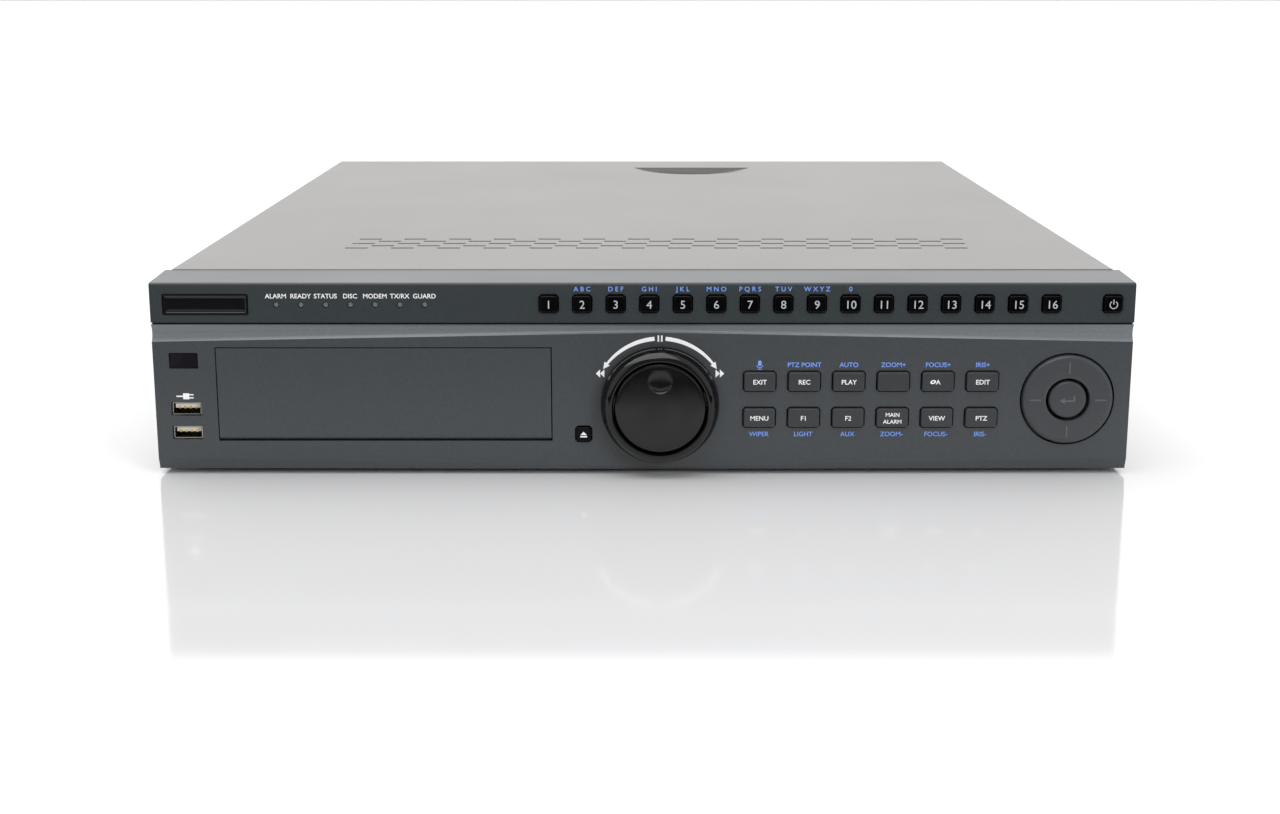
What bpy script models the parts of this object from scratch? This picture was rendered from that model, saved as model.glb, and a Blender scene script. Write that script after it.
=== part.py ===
"""Two-unit-high video recorder, modelled as the separate pieces it is assembled from.

Run it with: blender --background --python part.py
Metres, +Z up. The front faces -Y and +X is to the right of someone who looks at the front.
The origin is on the floor, under the middle of the whole object.
Every size below is in millimetres; the helpers turn them into metres.
Places along the depth are given as d, the distance behind the front face (negative is proud of it).
"""

import math

import bmesh
import bpy
from mathutils import Matrix, Vector

MM = 0.001
SHARP_ANGLE = math.radians(32)  # edges that turn more than this stay crisp

# Driving sizes
WIDTH = 445.0  # across the fascia
BODY_DEPTH = 470.0  # front face to the outside of the rear panel
HEIGHT = 91.0  # floor to the top of the cover
FLOOR_GAP = 2.5  # floor to the underside of the fascia
FASCIA_DEPTH = 28.0
FIT = 0.3  # gap kept between two pieces that touch
KEY_TRAVEL = 1.0
DIAL_REACH = 9.6  # the shuttle ring stands this far out of the front face
SOCKET_REACH = 12.0  # the coaxial sockets stand this far out of the rear panel
FRONT_Y = (DIAL_REACH - BODY_DEPTH - SOCKET_REACH) / 2

# Fascia: an upper strip and a lower panel with a shadow groove between them
WALL = 2.5
PANEL_WALL = 3.0
SIDE_WALL = 2.2
HALF_WIDTH = WIDTH / 2
CAVITY_HALF = HALF_WIDTH - SIDE_WALL
STRIP_Z = (71.5, 89.7)
PANEL_Z = (FLOOR_GAP, 70.6)
PEAK_X = 8.0  # the panel's brow line peaks above the dial
COVE_DEPTH, COVE_STEPS = 1.5, 8  # hollow between the brow line and the panel's top edge
BROW_Z = (66.9, 62.6)  # at the peak, and at both ends
CHIN_Z = (3.6, 7.9)
CHIN_DEPTH = (0.4, 1.6)
BOARD_D = (12.0, 13.6)
INNER_WALL_END = 10.5  # the walls beside the groove stop here, in front of the board

# Keys: centres, hole sizes and caps
CHANNEL_KEYS = 16
CHANNEL_X0, CHANNEL_PITCH, CHANNEL_Z = -42.3, 15.13, 80.2
POWER_X = 212.3
CHANNEL_HOLE = (9.3, 8.9)
FUNCTION_X0, FUNCTION_PITCH = 53.4, 20.28
FUNCTION_ROWS = {"upper": 44.2, "lower": 27.2}
FUNCTION_COLUMNS = 6
FUNCTION_HOLE = (15.5, 10.0)
EJECT_X, EJECT_Z = -26.9, 19.3
EJECT_HOLE = (8.0, 7.9)
KEY_GAP = 0.4
KEY_LIP = 1.1  # the retaining flange is this much wider than its hole on each side
KEY_CORNER = 1.3
STEM = 4.0
STEM_END = 9.5
SWITCH_SIDE, SWITCH_FRONT = 6.0, 10.8

# Shuttle ring, jog dial and encoder
DIAL_X, DIAL_Z = 8.0, 33.5
RING_RADIUS, RING_BORE = 27.1, 21.3
DIAL_RADIUS = 20.8
SLEEVE_RADIUS, DIAL_HOLE = 22.4, 23.0
BUSH_RADIUS, SPINDLE_RADIUS = 3.4, 1.5
TURN_GAP = 0.3
DIMPLE_RISE, DIMPLE_RADIUS, DIMPLE_DEPTH = 12.4, 5.8, 1.3

# Direction pad and its gimbal
PAD_X, PAD_Z = 193.9, 35.8
PAD_HOLE, PAD_RADIUS, PAD_BORE = 21.6, 20.7, 9.8
ENTER_RADIUS = 8.7
PAD_FLANGE, PAD_FLANGE_D = 22.6, (4.5, 5.2)
GIMBAL_D = 7.8
GIMBAL_RING = (10.5, 14.0)
PEG_RADIUS = 0.9
X_PEG_END, Z_PEG_END = 26.4, 18.8

# Drop-down flap over the disc drive
BAY_X = (-194.3, -41.2)
BAY_Z = (15.9, 60.0)
FLAP_GAP = 0.5
FLAP_THICKNESS = 2.4
BARREL_RADIUS = 2.2
FLAP_PIVOT_D, FLAP_PIVOT_Z = BARREL_RADIUS, BAY_Z[0] + FLAP_GAP + BARREL_RADIUS
STUB_RADIUS, STUB_LENGTH = 1.2, 2.2

# Left end of the panel
BADGE_X, BADGE_Z = (-217.0, -178.0), (74.8, 84.8)
LAMP_X0, LAMP_PITCH, LAMP_Z, LAMPS = -165.4, 11.18, 79.7, 7
LAMP_RADIUS = 1.3
WINDOW_X, WINDOW_Z = (-215.3, -202.1), (50.0, 57.4)
USB_X, USB_Z = -208.5, (31.1, 19.9)
USB_SHELL = (13.1, 5.7)
USB_WALL = 0.4

# Case
SHEET = 1.2
COVER_SHEET = 1.0
CASE_HALF = 219.2
CASE_Z = (7.0, 88.6)
CASE_FRONT = FASCIA_DEPTH + FIT
COVER_HALF = CASE_HALF + FIT + COVER_SHEET
COVER_SKIRT_Z = 70.0
REAR_FLANGE_Z = 81.0
SLOT_ROWS, SLOT_ROW_PITCH, SLOT_ROW_D0 = 5, 7.0, 88.0
SLOT_SIZE, SLOT_PITCH, SLOT_X0, SLOT_ROW_STEP = (11.3, 3.0), 23.2, -149.4, 0.7
SLOTS_IN_ROW = (14, 13)
PULL_X, PULL_D, PULL_RADIUS, PULL_DEPTH = 34.9, 433.0, 41.0, 5.0
FOOT_X, FOOT_D = 180.0, (52.0, 428.0)
FOOT_RADIUS = 10.0

# Rear panel
PANEL_IN = BODY_DEPTH - SHEET
BNC_COLUMNS, BNC_X0, BNC_PITCH, BNC_ROWS_Z = 9, 42.0, -18.0, (36.0, 60.0)
BNC_HOLE, BNC_BARREL = 6.0, 4.85
REAR_BOARD_D = (462.0, 463.6)
JACK_X0, JACK_PITCH, JACKS, JACK_Z, JACK_RADIUS = -130.0, -18.0, 4, 44.0, 4.2
TERMINAL_X, TERMINAL_Z, TERMINAL_END = (-206.0, -124.0), (59.0, 69.0), 480.0
LAN_X, LAN_BODY, LAN_MOUTH = -132.0, (16.0, 13.6), (11.8, 8.4)
DSUB_X, DSUB_BODY, DSUB_SHELL = (-163.0, -196.0), (30.8, 12.5), (16.8, 8.2)
BOARD_Z = (14.0, 15.6)
FAN_X, FAN_Z, FAN_SIDE, FAN_DEPTH, FAN_BORE = 88.0, 48.0, 60.0, 25.0, 28.6
BLADES = 7
INLET_X, SWITCH_X, INLET_Z = 182.0, 144.0, 30.0
INLET_FLANGE_X, INLET_FLANGE_Z = (130.0, 208.0), (17.0, 43.0)
ROCKER_HALF, ROCKER_TILT = 8.6, math.radians(8)

MATERIALS = {
    "fascia_plastic": ((0.055, 0.062, 0.072), 0.55, 0.0),
    "key_plastic": ((0.012, 0.012, 0.014), 0.28, 0.0),
    "dial_plastic": ((0.015, 0.015, 0.017), 0.18, 0.0),
    "window_plastic": ((0.02, 0.012, 0.015), 0.12, 0.0),
    "clear_plastic": ((0.45, 0.46, 0.47), 0.25, 0.0),
    "case_paint": ((0.36, 0.355, 0.345), 0.5, 0.2),
    "bright_steel": ((0.62, 0.6, 0.57), 0.3, 1.0),
    "circuit_board": ((0.02, 0.14, 0.06), 0.5, 0.0),
    "black_plastic": ((0.02, 0.02, 0.022), 0.5, 0.0),
    "rubber": ((0.02, 0.02, 0.02), 0.85, 0.0),
    "drive_metal": ((0.5, 0.5, 0.5), 0.4, 1.0),
}


def start_empty():
    for obj in list(bpy.data.objects):
        bpy.data.objects.remove(obj)
    made = []
    for name in ("video_recorder", "cutters"):
        collection = bpy.data.collections.new(name)
        bpy.context.scene.collection.children.link(collection)
        made.append(collection)
    return made


RECORDER, HELPERS = start_empty()


def material(name):
    found = bpy.data.materials.get(name)
    if found:
        return found
    colour, roughness, metallic = MATERIALS[name]
    made = bpy.data.materials.new(name)
    made.use_nodes = True
    shader = made.node_tree.nodes["Principled BSDF"]
    shader.inputs["Base Color"].default_value = (*colour, 1.0)
    shader.inputs["Roughness"].default_value = roughness
    shader.inputs["Metallic"].default_value = metallic
    return made


# Helpers: each makes a hidden shape; part() turns the last one of a piece into a visible node.
def point(x, d, z):
    return Vector((x * MM, (FRONT_Y + d) * MM, z * MM))


def helper(mesh_maker, label):
    mesh = bpy.data.meshes.new(label)
    bm = bmesh.new()
    mesh_maker(bm)
    bmesh.ops.recalc_face_normals(bm, faces=bm.faces)
    bm.to_mesh(mesh)
    bm.free()
    obj = bpy.data.objects.new("shape_" + label, mesh)
    HELPERS.objects.link(obj)
    obj.hide_render = True
    obj.display_type = "WIRE"
    return obj


def add_block(bm, xs, ds, zs, corner=0.0, steps=2, along="Y"):
    """A box between two corners; corner rounds its four edges that run along one axis."""
    low, high = point(xs[0], ds[0], zs[0]), point(xs[1], ds[1], zs[1])
    size = high - low
    place = Matrix.Translation((low + high) / 2) @ Matrix.Diagonal((*size, 1.0))
    verts = bmesh.ops.create_cube(bm, size=1.0, matrix=place)["verts"]
    if corner:
        axis = "XYZ".index(along)
        edges = {e for v in verts for e in v.link_edges}
        chosen = [e for e in edges if abs((e.verts[0].co - e.verts[1].co)[axis]) > 0.5 * size[axis]]
        bmesh.ops.bevel(bm, geom=chosen, offset=corner * MM, segments=steps, profile=0.5, affect="EDGES")


def block(xs, ds, zs, corner=0.0, steps=2, along="Y", label="block"):
    return helper(lambda bm: add_block(bm, xs, ds, zs, corner, steps, along), label)


def blocks(list_of_spans, corner=0.0, steps=2, label="blocks"):
    """Several boxes that don't meet, as one cutter."""

    def make(bm):
        for xs, ds, zs in list_of_spans:
            add_block(bm, xs, ds, zs, corner, steps)

    return helper(make, label)


AXIS_TURN = {
    "X": Matrix.Rotation(math.pi / 2, 4, "Y"),
    "Y": Matrix.Rotation(math.pi / 2, 4, "X"),
    "Z": Matrix.Identity(4),
}


def add_rod(bm, middle, length, radius, sides=24, along="Y", end_radius=None):
    """A round bar centred on middle; end_radius makes it a cone that narrows towards -axis for Z."""
    place = Matrix.Translation(point(*middle)) @ AXIS_TURN[along]
    far = radius if end_radius is None else end_radius
    bmesh.ops.create_cone(
        bm, cap_ends=True, segments=sides, radius1=far * MM, radius2=radius * MM,
        depth=length * MM, matrix=place,
    )


def rod(x, z, ds, radius, sides=24, label="rod"):
    """A round bar along the depth, from ds[0] to ds[1]."""
    middle, length = (x, (ds[0] + ds[1]) / 2, z), ds[1] - ds[0]
    return helper(lambda bm: add_rod(bm, middle, length, radius, sides), label)


def rods(places, ds, radius, sides=16, label="rods"):
    def make(bm):
        for x, z in places:
            add_rod(bm, (x, (ds[0] + ds[1]) / 2, z), ds[1] - ds[0], radius, sides)

    return helper(make, label)


def prism(outline, xs, label="prism"):
    """An outline of (d, z) corners drawn out along X."""

    def make(bm):
        ring = [bm.verts.new(point(xs[0], d, z)) for d, z in outline]
        face = bm.faces.new(ring)
        drawn = bmesh.ops.extrude_face_region(bm, geom=[face])["geom"]
        moved = [v for v in drawn if isinstance(v, bmesh.types.BMVert)]
        bmesh.ops.translate(bm, verts=moved, vec=Vector(((xs[1] - xs[0]) * MM, 0, 0)))

    return helper(make, label)


def loft(sections, label="loft"):
    """A solid through outlines of (d, z) corners, each given with its x."""

    def make(bm):
        rings = []
        for x, outline in sections:
            ring = [bm.verts.new(point(x, d, z)) for d, z in outline]
            for i, vert in enumerate(ring):
                bm.edges.new((vert, ring[(i + 1) % len(ring)]))
            rings.append(ring)
        bmesh.ops.bridge_loops(bm, edges=bm.edges[:])
        bm.faces.new(rings[0])
        bm.faces.new(rings[-1])

    return helper(make, label)


def turned(profile, x, z, steps=48, label="turned"):
    """A shape turned about an axis along the depth. The profile's corners are (radius, d), and run
    round the section from its front, down the outer side to the back, and up the inner side."""
    mesh = bpy.data.meshes.new(label)
    verts = [(r * MM, 0.0, -d * MM) for r, d in profile]
    open_ended = profile[0][0] == 0 and profile[-1][0] == 0
    edges = [(i, i + 1) for i in range(len(verts) - 1)]
    if not open_ended:
        edges.append((len(verts) - 1, 0))
    mesh.from_pydata(verts, edges, [])
    obj = bpy.data.objects.new("shape_" + label, mesh)
    HELPERS.objects.link(obj)
    obj.hide_render = True
    obj.display_type = "WIRE"
    obj.location = point(x, 0, z)
    obj.rotation_euler = (math.pi / 2, 0, 0)
    screw = obj.modifiers.new("turn", "SCREW")
    screw.angle = 2 * math.pi
    screw.steps = screw.render_steps = steps
    screw.use_merge_vertices = True
    screw.merge_threshold = 0.00001
    return obj


def combine(obj, other, operation):
    modifier = obj.modifiers.new(operation.lower(), "BOOLEAN")
    modifier.operation = operation
    modifier.object = other
    modifier.solver = "EXACT"
    return obj


def join(obj, *others):
    for other in others:
        combine(obj, other, "UNION")
    return obj


def cut(obj, *others):
    for other in others:
        combine(obj, other, "DIFFERENCE")
    return obj


def keep(obj, *others):
    for other in others:
        combine(obj, other, "INTERSECT")
    return obj


def part(name, obj, finish, origin=None):
    """Shows a shape as the node of that name. origin, as (x, d, z), is where its joint's axis is."""
    bpy.context.view_layer.update()
    graph = bpy.context.evaluated_depsgraph_get()
    mesh = bpy.data.meshes.new_from_object(obj.evaluated_get(graph))
    place = Matrix.Translation(point(*origin)) if origin else Matrix.Identity(4)
    mesh.transform(place.inverted() @ obj.matrix_world)
    return show(name, mesh, finish, place)


def show(name, mesh, finish, place):
    mesh.materials.clear()
    mesh.materials.append(material(finish))
    mesh.shade_smooth()
    mesh.set_sharp_from_angle(angle=SHARP_ANGLE)
    made = bpy.data.objects.new(name, mesh)
    made.matrix_world = place
    RECORDER.objects.link(made)
    return made


def span(middle, size):
    return (middle - size / 2, middle + size / 2)


def grow(spans, by):
    return (spans[0] - by, spans[1] + by)


def channel_x(i):
    return CHANNEL_X0 + i * CHANNEL_PITCH


def function_x(i):
    return FUNCTION_X0 + i * FUNCTION_PITCH


def strip_key_places():
    places = [(f"channel_key_{i + 1:02d}", channel_x(i)) for i in range(CHANNEL_KEYS)]
    return places + [("power_key", POWER_X)]


def function_key_places():
    return [
        (f"function_key_{row}_{i + 1}", function_x(i), z)
        for row, z in FUNCTION_ROWS.items()
        for i in range(FUNCTION_COLUMNS)
    ]


def hole_spans(x, z, size, ds):
    return (span(x, size[0]), ds, span(z, size[1]))


# Fascia
def upper_bezel():
    radius, top_back = 1.2, HEIGHT - FIT
    nose = [
        (radius - radius * math.cos(a), STRIP_Z[1] - radius + radius * math.sin(a))
        for a in (0, math.pi / 6, math.pi / 3, math.pi / 2)
    ]
    outline = [(0, STRIP_Z[0]), *nose, (FASCIA_DEPTH, top_back), (FASCIA_DEPTH, STRIP_Z[0])]
    body = prism(outline, (-HALF_WIDTH, HALF_WIDTH), "strip")
    cavity_x, behind = (-CAVITY_HALF, CAVITY_HALF), FASCIA_DEPTH + 1
    cavity = block(cavity_x, (WALL, behind), (STRIP_Z[0] + 1.8, STRIP_Z[1] - 1.5), label="strip_cavity")
    relief = block(cavity_x, (INNER_WALL_END, behind), (STRIP_Z[0] - 1, STRIP_Z[0] + 3), label="relief")
    through = (-1.0, 6.0)
    keys = blocks(
        [hole_spans(x, CHANNEL_Z, CHANNEL_HOLE, through) for _, x in strip_key_places()],
        KEY_CORNER, 1, label="strip_keys",
    )
    lamps = rods([(lamp_x(i), LAMP_Z) for i in range(LAMPS)], through, LAMP_RADIUS + 0.2, 8, "lamp_holes")
    pocket = block(BADGE_X, (-1.0, 1.7), BADGE_Z, 0.8, label="badge_pocket")
    part("upper_bezel", cut(body, cavity, relief, keys, lamps, pocket), "fascia_plastic")


def lamp_x(i):
    return LAMP_X0 + i * LAMP_PITCH


def panel_section(x):
    """The lower panel's outline at x: hollow cove above, flat face, chin bevel below."""
    share = min(1.0, abs(x - PEAK_X) / (HALF_WIDTH - PEAK_X))
    brow = BROW_Z[0] + (BROW_Z[1] - BROW_Z[0]) * share
    chin = CHIN_Z[0] + (CHIN_Z[1] - CHIN_Z[0]) * share
    chin_depth = CHIN_DEPTH[0] + (CHIN_DEPTH[1] - CHIN_DEPTH[0]) * share
    top = PANEL_Z[1]
    half, middle = (top - brow) / 2, (top + brow) / 2
    radius = (half**2 + COVE_DEPTH**2) / (2 * COVE_DEPTH)
    reach = math.asin(half / radius)
    turn = [reach * (1 - 2 * i / COVE_STEPS) for i in range(COVE_STEPS + 1)]
    cove = [(COVE_DEPTH + radius * (math.cos(a) - 1), middle + radius * math.sin(a)) for a in turn]
    return [
        (FASCIA_DEPTH, top),
        *cove,
        (0, chin),
        (chin_depth, PANEL_Z[0]),
        (FASCIA_DEPTH, PANEL_Z[0]),
    ]


def lower_bezel():
    body = loft([(x, panel_section(x)) for x in (-HALF_WIDTH, PEAK_X, HALF_WIDTH)], "panel")
    cavity_x, behind = (-CAVITY_HALF, CAVITY_HALF), FASCIA_DEPTH + 1
    shelf_z = BROW_Z[1] - 1.6
    cavity = block(cavity_x, (PANEL_WALL, behind), (PANEL_Z[0] + 2, shelf_z), label="panel_cavity")
    upper = block(cavity_x, (COVE_DEPTH + 2.5, behind), (shelf_z - 1, PANEL_Z[1] - 2), label="cove_cavity")
    relief = block(cavity_x, (INNER_WALL_END, behind), (PANEL_Z[1] - 3, PANEL_Z[1] + 1), label="relief")
    cut(body, cavity, upper, relief)
    collar = block(grow(BAY_X, 3.5), (PANEL_WALL - 0.5, 8.0), grow(BAY_Z, 3.5), label="collar")
    lugs = [
        block(span(PAD_X + side * 26, 3), (PANEL_WALL - 0.5, 10.0), span(PAD_Z, 5), label="lug")
        for side in (-1, 1)
    ]
    join(body, collar, *lugs)
    through = (-1.0, 9.0)
    keys = blocks(
        [hole_spans(x, z, FUNCTION_HOLE, through) for _, x, z in function_key_places()],
        KEY_CORNER, 1, label="function_holes",
    )
    eject = blocks([hole_spans(EJECT_X, EJECT_Z, EJECT_HOLE, through)], KEY_CORNER, 1, "eject_hole")
    bay = block(BAY_X, through, BAY_Z, label="bay_hole")
    window = block(WINDOW_X, through, WINDOW_Z, 0.5, label="window_hole")
    port_size = [side + 0.8 for side in USB_SHELL]
    ports = blocks([hole_spans(USB_X, z, port_size, through) for z in USB_Z], 0.7, label="port_holes")
    dial = rod(DIAL_X, DIAL_Z, through, DIAL_HOLE, 40, "dial_hole")
    pad = rod(PAD_X, PAD_Z, (-1.0, 4.0), PAD_HOLE, 40, "pad_hole")
    gap = 0.3
    stubs = helper(
        lambda bm: add_rod(
            bm, (sum(BAY_X) / 2, FLAP_PIVOT_D, FLAP_PIVOT_Z),
            BAY_X[1] - BAY_X[0] + 2 * STUB_LENGTH + 1, STUB_RADIUS + gap, 16, "X",
        ),
        "stub_holes",
    )
    pegs = helper(
        lambda bm: add_rod(bm, (PAD_X, GIMBAL_D, PAD_Z), 2 * X_PEG_END + 1, PEG_RADIUS + gap, 16, "X"),
        "peg_holes",
    )
    cut(body, keys, eject, bay, window, ports, dial, pad, stubs, pegs)
    part("lower_bezel", body, "fascia_plastic")


def drive_flap():
    """Plate with a round lower edge about its pivot, so that it turns in a narrow gap."""
    xs = (BAY_X[0] + FLAP_GAP, BAY_X[1] - FLAP_GAP)
    middle, length = (sum(xs) / 2, FLAP_PIVOT_D, FLAP_PIVOT_Z), xs[1] - xs[0]
    plate = block(xs, (0, FLAP_THICKNESS), (FLAP_PIVOT_Z, BAY_Z[1] - FLAP_GAP), label="flap_plate")
    barrel = helper(lambda bm: add_rod(bm, middle, length, BARREL_RADIUS, 24, "X"), "barrel")
    stubs = helper(lambda bm: add_rod(bm, middle, length + 2 * STUB_LENGTH, STUB_RADIUS, 16, "X"), "stubs")
    part("drive_flap", join(plate, barrel, stubs), "fascia_plastic", middle)


def badge_and_window():
    plate = block(grow(BADGE_X, -FIT), (0.4, 1.7 - FIT), grow(BADGE_Z, -FIT), 0.6, label="badge")
    part("badge_plate", plate, "dial_plastic")
    lens = block(grow(WINDOW_X, -FIT), (0.5, 4.0), grow(WINDOW_Z, -FIT), 0.4, label="lens")
    rim = block(grow(WINDOW_X, 1.2), (PANEL_WALL + FIT, 4.6), grow(WINDOW_Z, 1.2), label="lens_rim")
    part("infrared_window", join(lens, rim), "window_plastic")
    bar_x = (lamp_x(0) - 2.6, lamp_x(LAMPS - 1) + 2.6)
    bar = block(bar_x, (5.5, 8.5), span(LAMP_Z, 3.4), label="light_bar")
    places = [(lamp_x(i), LAMP_Z) for i in range(LAMPS)]
    pins = rods(places, (0.15, 6.0), LAMP_RADIUS - 0.05, 8, "light_pins")
    part("indicator_light_guide", join(bar, pins), "clear_plastic")


def usb_ports():
    """Two stacked receptacles on one rear block."""
    body = block(span(USB_X, 15.0), (15.0, FASCIA_DEPTH - FIT), (14.0, 37.0), label="usb_block")
    front, back = 1.2, 15.5
    for z in USB_Z:
        width, height = USB_SHELL
        shell = block(span(USB_X, width), (front, back), span(z, height), 0.5, label="usb_shell")
        inside_x, inside_z = span(USB_X, width - 2 * USB_WALL), span(z, height - 2 * USB_WALL)
        hollow = block(inside_x, (0, back - 1), inside_z, 0.2, label="usb_hollow")
        tongue = block(span(USB_X, 11.0), (3.2, back), span(z + 0.9, 1.8), label="usb_tongue")
        join(body, join(cut(shell, hollow), tongue))
    part("usb_port_pair", body, "bright_steel")


# Keys
def key_mesh(hole, reach, corner, stem=True):
    """A cap, its retaining flange and its stem, as a mesh about the middle of its hole."""
    cap_x, cap_z = hole[0] / 2 - KEY_GAP, hole[1] / 2 - KEY_GAP
    cap = block((-cap_x, cap_x), (-reach, 4.0), (-cap_z, cap_z), corner, 1, label="cap")
    edge = cap.modifiers.new("front_edge", "BEVEL")
    edge.width = 0.5 * MM
    edge.segments = 1
    edge.limit_method = "ANGLE"
    edge.angle_limit = math.radians(60)
    lip_x, lip_z = hole[0] / 2 + KEY_LIP, hole[1] / 2 + KEY_LIP
    flange = block((-lip_x, lip_x), (PANEL_WALL + 0.4, 4.4), (-lip_z, lip_z), label="lip")
    post = block((-STEM / 2, STEM / 2), (4.0, STEM_END), (-STEM / 2, STEM / 2), label="stem")
    join(cap, flange, post)
    bpy.context.view_layer.update()
    graph = bpy.context.evaluated_depsgraph_get()
    mesh = bpy.data.meshes.new_from_object(cap.evaluated_get(graph))
    mesh.transform(Matrix.Translation(-point(0, 0, 0)))
    return mesh


def keys():
    small = key_mesh(CHANNEL_HOLE, 1.6, KEY_CORNER - 0.3)
    for name, x in strip_key_places():
        show(name, small, "key_plastic", Matrix.Translation(point(x, 0, CHANNEL_Z)))
    wide = key_mesh(FUNCTION_HOLE, 1.6, KEY_CORNER - 0.3)
    for name, x, z in function_key_places():
        show(name, wide, "key_plastic", Matrix.Translation(point(x, 0, z)))
    eject = key_mesh(EJECT_HOLE, 1.3, KEY_CORNER - 0.3)
    show("eject_key", eject, "key_plastic", Matrix.Translation(point(EJECT_X, 0, EJECT_Z)))


# Dials
def dials():
    back, web = 6.2, 4.6
    ring_profile = [
        (22.0, -9.4), (23.2, -DIAL_REACH), (24.9, -8.8), (26.4, -6.6), (RING_RADIUS, -4.2),
        (RING_RADIUS, -FIT - 0.1), (SLEEVE_RADIUS, -FIT - 0.1), (SLEEVE_RADIUS, back),
        (BUSH_RADIUS + TURN_GAP, back), (BUSH_RADIUS + TURN_GAP, web), (RING_BORE, web), (RING_BORE, -8.9),
    ]
    ring = turned(ring_profile, DIAL_X, DIAL_Z, 40, "ring")
    part("shuttle_ring", ring, "dial_plastic", (DIAL_X, 0, DIAL_Z))
    hub, bore = 5.0, SPINDLE_RADIUS + TURN_GAP
    dial_profile = [
        (0, -8.7), (DIAL_RADIUS - 0.8, -8.9), (DIAL_RADIUS, -8.2), (DIAL_RADIUS, -6.2),
        (hub, -6.2), (hub, 2.5), (bore, 2.5), (bore, -3.5), (0, -3.5),
    ]
    dial = turned(dial_profile, DIAL_X, DIAL_Z, 40, "dial")
    dish = (DIMPLE_RADIUS**2 + DIMPLE_DEPTH**2) / (2 * DIMPLE_DEPTH)

    def ball(bm):
        centre = point(DIAL_X, -8.8 - dish + DIMPLE_DEPTH, DIAL_Z + DIMPLE_RISE)
        place = Matrix.Translation(centre) @ AXIS_TURN["Y"]
        bmesh.ops.create_uvsphere(bm, u_segments=16, v_segments=40, radius=dish * MM, matrix=place)

    part("jog_dial", cut(dial, helper(ball, "dimple")), "dial_plastic", (DIAL_X, 0, DIAL_Z))
    body = rod(DIAL_X, DIAL_Z, (8.4, BOARD_D[0] - FIT), 12.0, 24, "encoder")
    bush = rod(DIAL_X, DIAL_Z, (3.2, 9.0), BUSH_RADIUS, 24, "bush")
    spindle = rod(DIAL_X, DIAL_Z, (-3.0, 4.0), SPINDLE_RADIUS, 16, "spindle")
    part("jog_encoder", join(body, bush, spindle), "drive_metal")


def direction_pad():
    ring_profile = [
        (PAD_BORE + 1.0, -2.0), (18.6, -2.2), (20.1, -1.6),
        (PAD_RADIUS, -0.4), (PAD_RADIUS, PAD_FLANGE_D[0]),
        (PAD_FLANGE, PAD_FLANGE_D[0]), (PAD_FLANGE, PAD_FLANGE_D[1]), (PAD_BORE, PAD_FLANGE_D[1]),
        (PAD_BORE, -1.2),
    ]
    ring = turned(ring_profile, PAD_X, PAD_Z, 40, "pad")
    ears = [
        block(span(PAD_X, 5), (PAD_FLANGE_D[0] + 0.3, 9.6), span(PAD_Z + side * 17.2, 2.5), label="ear")
        for side in (-1, 1)
    ]
    holes = helper(
        lambda bm: add_rod(bm, (PAD_X, GIMBAL_D, PAD_Z), 2 * Z_PEG_END + 1, PEG_RADIUS + 0.3, 16, "Z"),
        "ear_holes",
    )
    centre = (PAD_X, GIMBAL_D, PAD_Z)
    part("direction_ring", cut(join(ring, *ears), holes), "key_plastic", centre)
    low, high = GIMBAL_D - 0.9, GIMBAL_D + 0.9
    hoop_in, hoop_out = GIMBAL_RING
    hoop_profile = [(hoop_out, low), (hoop_out, high), (hoop_in, high), (hoop_in, low)]
    gimbal = turned(hoop_profile, PAD_X, PAD_Z, 32, "gimbal")

    def peg(side, reach, axis):
        length = reach - hoop_in - 1
        offset = side * (hoop_in + 1 + length / 2)
        across, up = (offset, 0) if axis == "X" else (0, offset)
        middle = (PAD_X + across, GIMBAL_D, PAD_Z + up)
        return helper(lambda bm: add_rod(bm, middle, length, PEG_RADIUS - 0.05, 12, axis), "peg")

    pegs = [peg(s, reach, axis) for axis, reach in (("X", X_PEG_END), ("Z", Z_PEG_END)) for s in (-1, 1)]
    part("direction_pivot", join(gimbal, *pegs), "black_plastic", centre)
    enter_profile = [
        (0, -1.9), (7.4, -1.9), (8.4, -1.5), (ENTER_RADIUS, -0.8), (ENTER_RADIUS, 4.0),
        (3.0, 4.0), (3.0, STEM_END), (0, STEM_END),
    ]
    part("enter_key", turned(enter_profile, PAD_X, PAD_Z, 28, "enter"), "key_plastic", (PAD_X, 0, PAD_Z))


def front_board():
    """L-shaped board behind the strip and the right of the panel, with a switch behind each key."""
    upper = block((-217.0, 217.0), BOARD_D, (67.0, 87.0), label="board_top")
    lower = block((-33.5, 217.0), BOARD_D, (6.0, 68.0), label="board_side")
    places = [(x, CHANNEL_Z) for _, x in strip_key_places()]
    places += [(x, z) for _, x, z in function_key_places()]
    places += [(EJECT_X, EJECT_Z), (PAD_X, PAD_Z)]
    switches = blocks(
        [hole_spans(x, z, (SWITCH_SIDE, SWITCH_SIDE), (SWITCH_FRONT, BOARD_D[0] + 0.4)) for x, z in places],
        label="switches",
    )
    part("front_board", join(upper, lower, switches), "circuit_board")


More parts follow.
